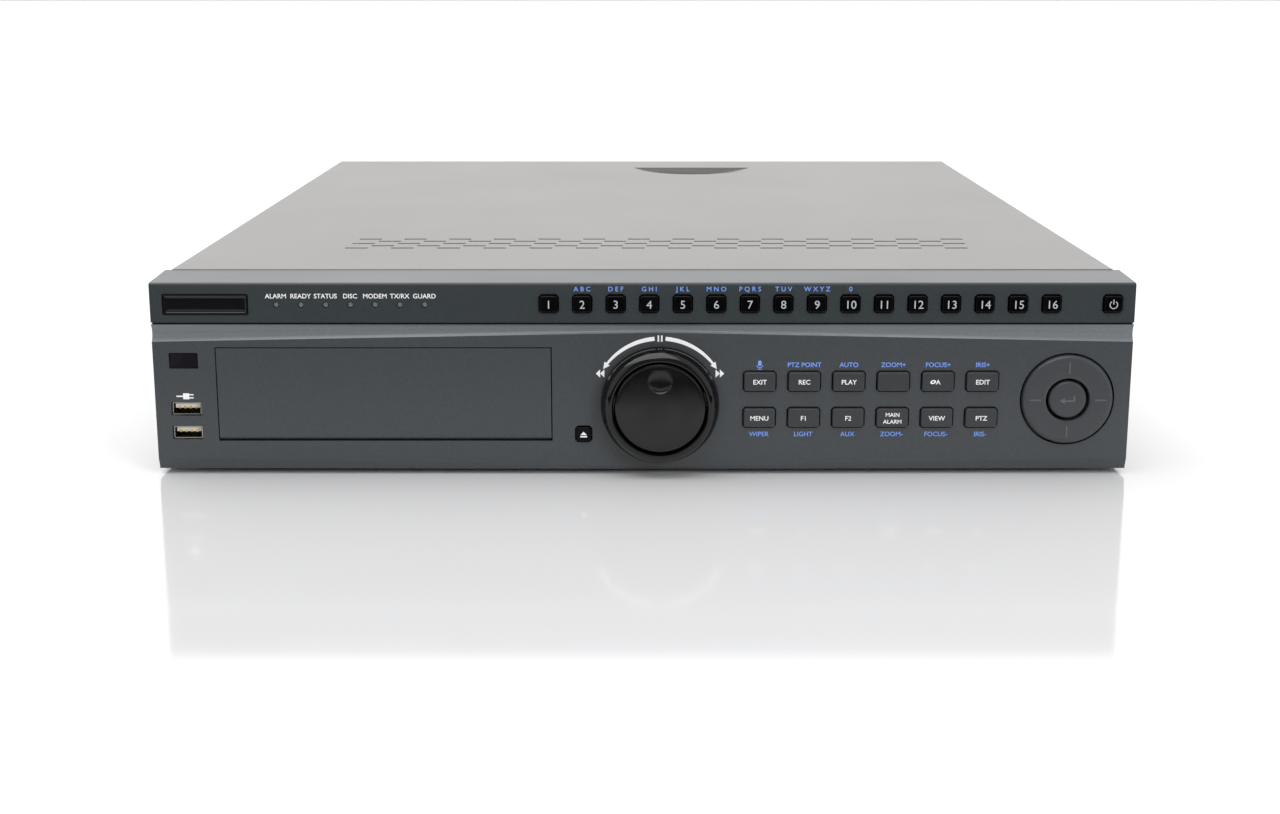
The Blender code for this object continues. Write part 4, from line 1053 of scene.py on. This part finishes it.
# Rear panel: places in millimetres as the recorder is seen from the front
COAXIAL_COLUMNS = [42.0 - 18.0 * i for i in range(9)]
COAXIAL_ROWS = (36.0, 60.0)
AUDIO_COLUMNS = [-130.0 - 18.0 * i for i in range(4)]
AUDIO_ROW = 44.0
NETWORK_X, NETWORK_Z = -132.0, 22.4
DISPLAY_COLUMNS, DISPLAY_Z = (-163.0, -196.0), 21.85
INLET_X, ROCKER_X, MAINS_Z = 182.0, 144.0, 30.0


def screw_shapes(spot, out, radius):
    """A pan head and its cross recess as raised bars, which take a black finish as painted shade; out is the
    way the head faces.
    """
    r = radius / MM
    profile = mm(
        (0, r * 0.62), (r * 0.5, r * 0.58), (r * 0.82, r * 0.4), (r, r * 0.12), (r, -0.3), (0, -0.3),
    )
    turn = Vector((0, 0, 1)).rotation_difference(Vector(out)).to_matrix().to_4x4()
    place = Matrix.Translation(spot) @ turn
    head = turned(profile, (0, 0, 0), 20, "Z")
    head.transform(place)
    arms = []
    top = radius * 0.62
    for wide, tall in ((0.55, 0.13), (0.13, 0.55)):
        low = (-radius * wide, -radius * tall, top - 0.3 * MM)
        high = (radius * wide, radius * tall, top + 0.02 * MM)
        arm = box_shape(low, high)
        arm.transform(place)
        arms.append(arm)
    return head, gathered(arms)


class RECORDER_OT_screws(Operator):
    """Pan-head screws in the cover, the pan and the rear panel"""

    bl_idname = "recorder.screws"
    bl_label = "Screws"

    def execute(self, context):
        radius = sizes().screw_radius
        heads, recess_shades = [], []
        for spot, out, scale in self.places():
            head, cross = screw_shapes(spot, out, radius * scale)
            heads.append(head)
            recess_shades.append(cross)
        piece("case_screws", gathered(heads), "nickel", "case")
        # The cross recesses are black bars: painted shade for the hollow of each recess
        piece("screw_recess_painted_shade", gathered(recess_shades), "black", "case")
        return {"FINISHED"}

    def places(self):
        """Each screw's place, the way its head faces and its size beside a case screw."""
        cover = corners("top_cover")[1]
        pan_low, pan_high = corners("chassis")
        for x in (-200, -100, 0, 100, 200):  # rear flange of the cover
            yield at(x, cover.y, 86.0), (0, 1, 0), 1.0
        for sign in (-1, 1):  # sides of the cover, and ears of the fascia below it
            for y in (-120, 60, 205):
                yield Vector((sign * cover.x, y * MM, 76.5 * MM)), (sign, 0, 0), 1.0
            for y in (-196, -180):
                yield Vector((sign * pan_high.x, y * MM, 22 * MM)), (sign, 0, 0), 0.9
        for x, z in ((-213, 14), (-213, 76), (213, 76), (213, 12)):  # corners of the rear panel
            yield at(x, REAR, z), (0, 1, 0), 0.85
        fan = middle("fan_frame")
        for dx in (-25, 25):
            for dz in (-25, 25):
                yield Vector((fan.x + dx * MM, REAR, fan.z + dz * MM)), (0, 1, 0), 0.95
        # the hard drives' screws, in the pan's underside
        for hard_drive in ("hard_drive_1", "hard_drive_2"):
            low, high = corners(hard_drive)
            for x in (low.x + 3 * MM, high.x - 3 * MM):
                for y in (low.y + 30 * MM, high.y - 40 * MM):
                    yield Vector((x, y, pan_low.z)), (0, 0, -1), 0.9


class RECORDER_OT_video_sockets(Operator):
    """Coaxial sockets with bayonet lugs, hex nuts, insulators and pins"""

    bl_idname = "recorder.video_sockets"
    bl_label = "Coaxial sockets"

    def execute(self, context):
        low, high = corners("video_input_board")
        plate = box_shape(low, (high.x, low.y + 1.6 * MM, high.z))
        piece("video_input_plate", plate, "green", "case", ["video_input_board"])
        reach = (high.y - REAR) / MM
        shell = mm(
            (4.85, 2.0), (4.85, reach - 0.4), (4.6, reach), (4.05, reach), (3.95, reach - 0.3),
            (3.95, reach - 8.0), (0, reach - 8.0), (0, -4.0), (6.3, -4.0), (6.3, 0.3), (5.6, 0.9), (5.6, 2.0),
        )
        core = mm(
            (0, reach - 2.6), (2.3, reach - 2.6), (2.4, reach - 2.9), (2.4, reach - 8.2), (0, reach - 8.2),
        )
        pin = mm((0.35, reach - 1.2), (0.7, reach - 1.5), (0.7, reach - 3.0), (0.35, reach - 3.0))
        shells, cores, pins, lugs = [], [], [], []
        for x in COAXIAL_COLUMNS:
            for z in COAXIAL_ROWS:
                spot = at(x, REAR, z)
                shells += [turned(shell, spot, 32), self.nut(spot)]
                cores.append(turned(core, spot, 24))
                pins.append(turned(pin, spot, 16))
                lugs += [self.lug(spot, side) for side in (-1, 1)]
        piece("coaxial_shells", gathered(shells + lugs), "nickel", "case")
        piece("coaxial_insulators", gathered(cores), "socket_white", "case")
        piece("coaxial_pins", gathered(pins), "gold", "case")
        return {"FINISHED"}

    def lug(self, spot, side):
        """A bayonet lug on one side of a shell."""
        lug = turned(mm((0, 0), (0.95, 0), (0.95, 1.0), (0, 1.0)), (0, 0, 0), 12, "Z")
        turn = Matrix.Rotation(side * math.pi / 2, 4, "Y")
        lug.transform(Matrix.Translation(spot + Vector((side * 4.6 * MM, 8.2 * MM, 0))) @ turn)
        return lug

    def nut(self, spot):
        """A hexagon nut that holds a shell to the rear panel."""
        wide, tall = 6.9 * MM / math.cos(math.pi / 6) * 0.98, 6.9 * MM
        turn = [math.pi / 3 * i for i in range(6)]
        hexagon = [(spot.x + wide * math.cos(a), spot.z + tall * math.sin(a)) for a in turn]
        return plate_shape(hexagon, spot.y + 0.2 * MM, 1.7 * MM)


class RECORDER_OT_board_sockets(Operator):
    """Network, display, audio and alarm sockets on the main board, with their contacts and screws"""

    bl_idname = "recorder.board_sockets"
    bl_label = "Board sockets"

    def execute(self, context):
        coat_node("main_board", "green")
        self.audio_jacks()
        self.terminal_block()
        self.network_socket()
        self.display_sockets()
        return {"FINISHED"}

    def audio_jacks(self):
        """Plated sleeves in coloured collars, each with a black disc in its hole as painted shade."""
        end = mm(
            (4.25, 9.0), (4.25, 9.4), (3.3, 9.4), (3.3, 9.12), (0, 9.12), (0, 9.05), (4.2, 9.05),
        )
        barrel = mm((4.22, 0.4), (4.6, 0.4), (4.6, 9.0), (4.22, 9.0))
        collar = mm((4.65, 0.1), (5.6, 0.1), (6.0, 0.6), (6.0, 2.4), (5.6, 2.8), (4.65, 2.8))
        hole = mm((0, 9.13), (1.6, 9.13), (1.6, 9.16), (0, 9.16))
        sleeves, holes = [], []
        for i, (x, finish) in enumerate(zip(AUDIO_COLUMNS, ("red", "socket_white", "red", "yellow")), 1):
            spot = at(x, REAR, AUDIO_ROW)
            sleeves += [turned(end, spot, 32), turned(barrel, spot, 32)]
            holes.append(turned(hole, spot, 20))
            piece(f"audio_collar_{i}", turned(collar, spot, 40), finish, "case")
        piece("audio_sleeves", gathered(sleeves), "nickel", "case")
        piece("audio_hole_painted_shade", gathered(holes), "black", "case")

    def terminal_block(self):
        """Sixteen wells in a row, with a screw over each; the wells' mouths and the rings round the screws
        are black, as painted shade.
        """
        low, high = at(-206.0, REAR, 59.0), at(-124.0, REAR + 10.0 * MM, 69.0)
        skin = Vector((0.1, 0.1, 0.1)) * MM
        body = box_shape((low.x - skin.x, low.y + skin.y, low.z - skin.z), high + skin, 0.3 * MM)
        piece("alarm_terminal", body, "terminal", "case")
        rim = mm((0, 0.0), (1.55, 0.0), (1.55, 0.16), (0, 0.16))
        head = mm((0, 0.1), (1.2, 0.1), (1.2, 0.3), (0, 0.3))
        count = 16
        pitch = (high.x - low.x) / count
        wells, screws = [], []
        for i in range(count):
            x, y = low.x + pitch * (i + 0.5), high.y
            mouth = (x - 1.5 * MM, y, low.z + 1.2 * MM), (x + 1.5 * MM, y + 0.16 * MM, low.z + 4.4 * MM)
            spot = (x, y, high.z - 2.4 * MM)
            wells += [box_shape(*mouth), turned(rim, spot, 16)]
            screws.append(turned(head, spot, 12))
        piece("terminal_well_painted_shade", gathered(wells), "black", "case")
        piece("terminal_screws", gathered(screws), "zinc", "case")

    def network_socket(self):
        """Eight contacts in a plated shell, with two lamps."""
        x, z = NETWORK_X, NETWORK_Z
        contacts = []
        for i in range(8):
            cx = x + (i - 3.5) * 1.02
            low, high = at(cx - 0.25, REAR - 6 * MM, z + 3.0), at(cx + 0.25, REAR + 0.2 * MM, z + 3.9)
            contacts.append(box_shape(low, high))
        piece("network_contacts", gathered(contacts), "gold", "case")
        near, far, lamp_far = REAR + 1.75 * MM, REAR + 1.95 * MM, REAR + 2.15 * MM
        shell = []
        for left, right, bottom, top in (
            (-8.2, -6.1, -6.9, 6.9), (6.1, 8.2, -6.9, 6.9), (-8.2, 8.2, 4.4, 6.9), (-8.2, 8.2, -6.9, -4.4),
        ):
            shell.append(box_shape(at(x + left, near, z + bottom), at(x + right, far, z + top)))
        piece("network_shell", gathered(shell), "nickel", "case")
        lamps = []
        for dx in (-5.8, 5.8):
            low, high = at(x + dx - 1.4, far, z + 4.8), at(x + dx + 1.4, lamp_far, z + 6.4)
            lamps.append(box_shape(low, high))
        piece("network_lamps", gathered(lamps), "yellow", "case")

    def display_sockets(self):
        """Two sockets of fifteen holes, each between two posts; the holes are black discs, as painted shade.
        """
        inserts, holes, rims, posts = [], [], [], []
        hole = mm((0, 0.05), (0.5, 0.05), (0.5, 0.16), (0, 0.16))
        y, z = REAR + 5.5 * MM, DISPLAY_Z
        for x in DISPLAY_COLUMNS:
            low, high = at(x - 7.6, y - 0.1 * MM, z - 3.4), at(x + 7.6, y + 0.12 * MM, z + 3.4)
            inserts.append(box_shape(low, high, 1.5 * MM))
            low, high = at(x - 15.2, REAR + 0.05 * MM, z - 6.2), at(x + 15.2, REAR + 0.8 * MM, z + 6.2)
            rims.append(box_shape(low, high, 2.2 * MM))
            for row in (-1, 0, 1):
                for i in range(5):
                    spot = at(x + (i - 2) * 2.3 + row * 0.5, y, z + row * 2.0)
                    holes.append(turned(hole, spot, 10))
            for side in (-1, 1):
                turn = [math.pi / 3 * i for i in range(6)]
                hexagon = [(side * 12.4 + 2.7 * math.cos(a), 2.7 * math.sin(a)) for a in turn]
                outline = [((x + dx) * MM, (z + dz) * MM) for dx, dz in hexagon]
                posts.append(plate_shape(outline, REAR + 0.6 * MM, 4.4 * MM))
        piece("display_inserts", gathered(inserts), "blue_shell", "case")
        piece("display_pin_hole_painted_shade", gathered(holes), "black", "case")
        piece("display_flanges", gathered(rims), "nickel", "case")
        piece("display_posts", gathered(posts), "nickel", "case")


class RECORDER_OT_mains(Operator):
    """Mains inlet, its blades, the rocker with its on and off marks, the fan and the inner units"""

    bl_idname = "recorder.mains"
    bl_label = "Mains inlet and inner units"

    def execute(self, context):
        face = on_plane("Y", corners("mains_inlet")[1].y)
        moulding = fine_copy("mains_inlet", [(face, 0.3 * MM, 2)])
        piece("inlet_moulding", moulding, "black", "case", ["mains_inlet"])
        blades = []
        for dx, dz in ((-7.0, -1.0), (7.0, -1.0), (0.0, 4.6)):
            x, z = INLET_X + dx, MAINS_Z + dz
            low, high = at(x - 1.05, REAR - 13.0 * MM, z - 2.05), at(x + 1.05, REAR - 3.8 * MM, z + 2.05)
            blades.append(box_shape(low, high, rim=0.3 * MM, both_rims=True))
        piece("inlet_blades", gathered(blades), "nickel", "case")
        coat_node("mains_switch", "dial")
        self.rocker_marks()
        coat_node("fan_frame", "black")
        coat_node("fan_rotor", "black")
        for node in ("disc_drive", "hard_drive_1", "hard_drive_2"):
            coat_node(node, "casting")
        coat_node("power_supply", "zinc")
        coat_node("front_board", "green")
        return {"FINISHED"}

    def rocker_marks(self):
        """A stroke and a ring on the two halves of the rocker's face."""
        pivot = Matrix.Translation(at(ROCKER_X, REAR - 3.0 * MM, MAINS_Z))
        rest = Matrix.Rotation(math.radians(8), 4, "X")
        slope = math.atan2(1.6, 8.6)  # each half's slope away from the rocker's middle
        out, up, half = 5.65 * MM, 4.6 * MM, 0.05 * MM
        stroke = box_shape((-0.35 * MM, -half, -1.8 * MM), (0.35 * MM, half, 1.8 * MM))
        ring = plate_shape(band_outline((0, 0), 1.3 * MM, 1.9 * MM, 0, 359.9), -half, 2 * half)
        shapes = [stroke, ring]
        for shape, side in zip(shapes, (1, -1)):
            onto_half = Matrix.Translation((0, out, side * up)) @ Matrix.Rotation(-side * slope, 4, "X")
            shape.transform(pivot @ rest @ onto_half)
        piece("rocker_marks", gathered(shapes), "white_ink", "mains_switch")


class RECORDER_OT_rear_printing(Operator):
    """Plain names of the sockets on the rear panel"""

    bl_idname = "recorder.rear_printing"
    bl_label = "Rear printing"

    def execute(self, context):
        upper, lower = 69.0, 45.6  # heights of the print over the two rows of coaxial sockets
        shapes = []
        for i, x in enumerate(COAXIAL_COLUMNS[:8], 1):
            for number, z in ((i, upper), (i + 8, lower)):
                shapes.append(words_shape(str(number), at(x, REAR, z), 3.0 * MM, 0.02, "REAR"))
        for words, x, z in (
            ("VIDEO IN", -20.0, 78.5),
            ("OUT A", COAXIAL_COLUMNS[8], upper),
            ("OUT B", COAXIAL_COLUMNS[8], lower),
            ("ALARM", -165.0, 72.6),
            ("AUDIO", -157.0, 53.0),
            ("LAN", -118.0, 22.0),
            ("DISPLAY", DISPLAY_COLUMNS[0], 32.5),
            ("DISPLAY", DISPLAY_COLUMNS[1], 32.5),
            ("MAINS", INLET_X, 47.0),
        ):
            shapes.append(words_shape(words, at(x, REAR, z), 3.2 * MM, 0.02, "REAR"))
        ink("rear_legends", shapes, "dark_ink", "case")
        return {"FINISHED"}


class RECORDER_OT_stage(Operator):
    """Pale floor, soft studio light and the camera"""

    bl_idname = "recorder.stage"
    bl_label = "Stage, light and camera"

    def execute(self, context):
        self.floor()
        self.lights(context)
        self.camera(context)
        return {"FINISHED"}

    def floor(self):
        """Melamine laminate: pale and even, with a polish that mirrors the recorder's foot faintly."""
        bm = bmesh.new()
        bmesh.ops.create_grid(bm, x_segments=1, y_segments=1, size=sizes().floor_side / 2)
        pale = linear("#d6d6d7")
        made, tree, shader, place = new_material("pale_floor_laminate", pale, 0.09)
        mottle(tree, shader, place, pale, 600.0, 0.01)
        uneven_gloss(tree, shader, place, 400.0, 0.08, 0.1)
        self.shown("floor", bm, made)
        self.tall_card()
        self.low_card()

    def shown(self, name, bm, material):
        """Shows a bmesh as part of the stage."""
        mesh = bpy.data.meshes.new(name)
        bm.to_mesh(mesh)
        bm.free()
        mesh.materials.append(material)
        made = bpy.data.objects.new(name, mesh)
        bpy.context.scene.collection.objects.link(made)
        return made

    def tall_card(self):
        """Black card over and behind the camera that darkens the gloss."""
        card = self.card("tall_card", box_shape((-2.2, -2.62, 0.75), (2.2, -2.6, 2.6)))
        card.visible_camera = False
        return card

    def low_card(self):
        """Black card that only reflections from above see. It deepens the gloss of the upper fascia."""
        near, far, wide = FRONT - 150 * MM, FRONT - 2.0, 3.0
        bm = bmesh.new()
        bmesh.ops.create_grid(bm, x_segments=1, y_segments=1, size=0.5)
        bmesh.ops.scale(bm, verts=bm.verts, vec=(wide, near - far, 1))
        bmesh.ops.translate(bm, verts=bm.verts, vec=(0, (near + far) / 2, 1 * MM))
        card = self.card("low_card", bm)
        for sight in ("visible_camera", "visible_diffuse", "visible_shadow", "visible_transmission"):
            setattr(card, sight, False)
        tree = card.data.materials[0].node_tree
        side = add_node(tree, "ShaderNodeNewGeometry").outputs["Backfacing"]
        clear = add_node(tree, "ShaderNodeBsdfTransparent").outputs["BSDF"]
        mix = add_node(tree, "ShaderNodeMixShader", Fac=side)
        tree.links.new(tree.nodes["Principled BSDF"].outputs["BSDF"], mix.inputs[1])
        tree.links.new(clear, mix.inputs[2])
        tree.links.new(mix.outputs["Shader"], tree.nodes["Material Output"].inputs["Surface"])
        return card

    def card(self, name, bm):
        """A card of matt black paper, which gives no light back."""
        black = linear("#0a0a0a")
        made, tree, shader, place = new_material(name + "_paper", black, 0.9)
        mottle(tree, shader, place, black, 300.0, 0.2)
        return self.shown(name, bm, made)

    def lights(self, context):
        """A white world, a wide lamp overhead, one far behind and a small one that makes no highlight."""
        world = bpy.data.worlds.new("studio")
        context.scene.world = world
        world.use_nodes = True
        backdrop = world.node_tree.nodes["Background"]
        backdrop.inputs["Color"].default_value = (1.0, 1.0, 1.0, 1.0)
        backdrop.inputs["Strength"].default_value = 0.75
        for name, place, target, width, height, power in (
            ("overhead", (-0.35, -0.4, 1.7), (0, -0.1, 0.05), 2.4, 1.6, 24.0),
            ("backlight", (0.0, 12.0, 4.0), (0, 0, 4.0), 26.0, 8.0, 600.0),
            ("front_right", (1.4, -1.9, 1.0), (0, -0.2, 0.05), 0.8, 0.8, 22.0),
        ):
            lamp = bpy.data.lights.new(name, "AREA")
            lamp.shape = "RECTANGLE"
            lamp.size = width
            lamp.size_y = height
            lamp.energy = power
            holder = bpy.data.objects.new(name, lamp)
            holder.location = place
            holder.rotation_euler = (Vector(target) - Vector(place)).to_track_quat("-Z", "Y").to_euler()
            holder.visible_camera = False
            holder.visible_glossy = name != "front_right"
            context.scene.collection.objects.link(holder)
        context.scene.view_settings.view_transform = "Standard"

    def camera(self, context):
        """The camera stands before the recorder and looks a little down on it."""
        look_down = 0.2006
        lens = bpy.data.cameras.new("studio_camera")
        lens.lens = 46.12
        lens.sensor_width = 36.0
        lens.shift_y = -0.08
        lens.clip_end = 200.0
        holder = bpy.data.objects.new("studio_camera", lens)
        holder.location = (-1.1 * MM, FRONT - sizes().camera_distance, sizes().camera_height)
        holder.rotation_euler = (math.pi / 2 - look_down, 0, 0)
        context.scene.collection.objects.link(holder)
        context.scene.camera = holder


OPERATORS = (
    RECORDER_OT_finishes,
    RECORDER_OT_case,
    RECORDER_OT_fascia,
    RECORDER_OT_badge,
    RECORDER_OT_usb,
    RECORDER_OT_channel_keys,
    RECORDER_OT_function_keys,
    RECORDER_OT_dials,
    RECORDER_OT_direction_pad,
    RECORDER_OT_printing,
    RECORDER_OT_screws,
    RECORDER_OT_video_sockets,
    RECORDER_OT_board_sockets,
    RECORDER_OT_mains,
    RECORDER_OT_rear_printing,
    RECORDER_OT_stage,
)


class RECORDER_PT_panel(Panel):
    """Settings and steps of the recorder's finish"""

    bl_label = "Recorder"
    bl_idname = "RECORDER_PT_panel"
    bl_space_type = "VIEW_3D"
    bl_region_type = "UI"
    bl_category = "Recorder"

    def draw(self, context):
        settings = context.scene.recorder
        for group in (settings.sizes, settings.colours):
            for name in group.bl_rna.properties.keys():
                if name not in {"rna_type", "name"}:
                    self.layout.prop(group, name)
        for operator in OPERATORS:
            self.layout.operator(operator.bl_idname)


CLASSES = (RecorderColours, RecorderSizes, RecorderSettings, *OPERATORS, RECORDER_PT_panel)


def register():
    for cls in CLASSES:
        bpy.utils.register_class(cls)
    bpy.types.Scene.recorder = PointerProperty(type=RecorderSettings)


def unregister():
    del bpy.types.Scene.recorder
    for cls in reversed(CLASSES):
        bpy.utils.unregister_class(cls)


def main():
    register()
    for operator in OPERATORS:
        group, name = operator.bl_idname.split(".")
        getattr(getattr(bpy.ops, group), name)()


if __name__ == "__main__":
    main()
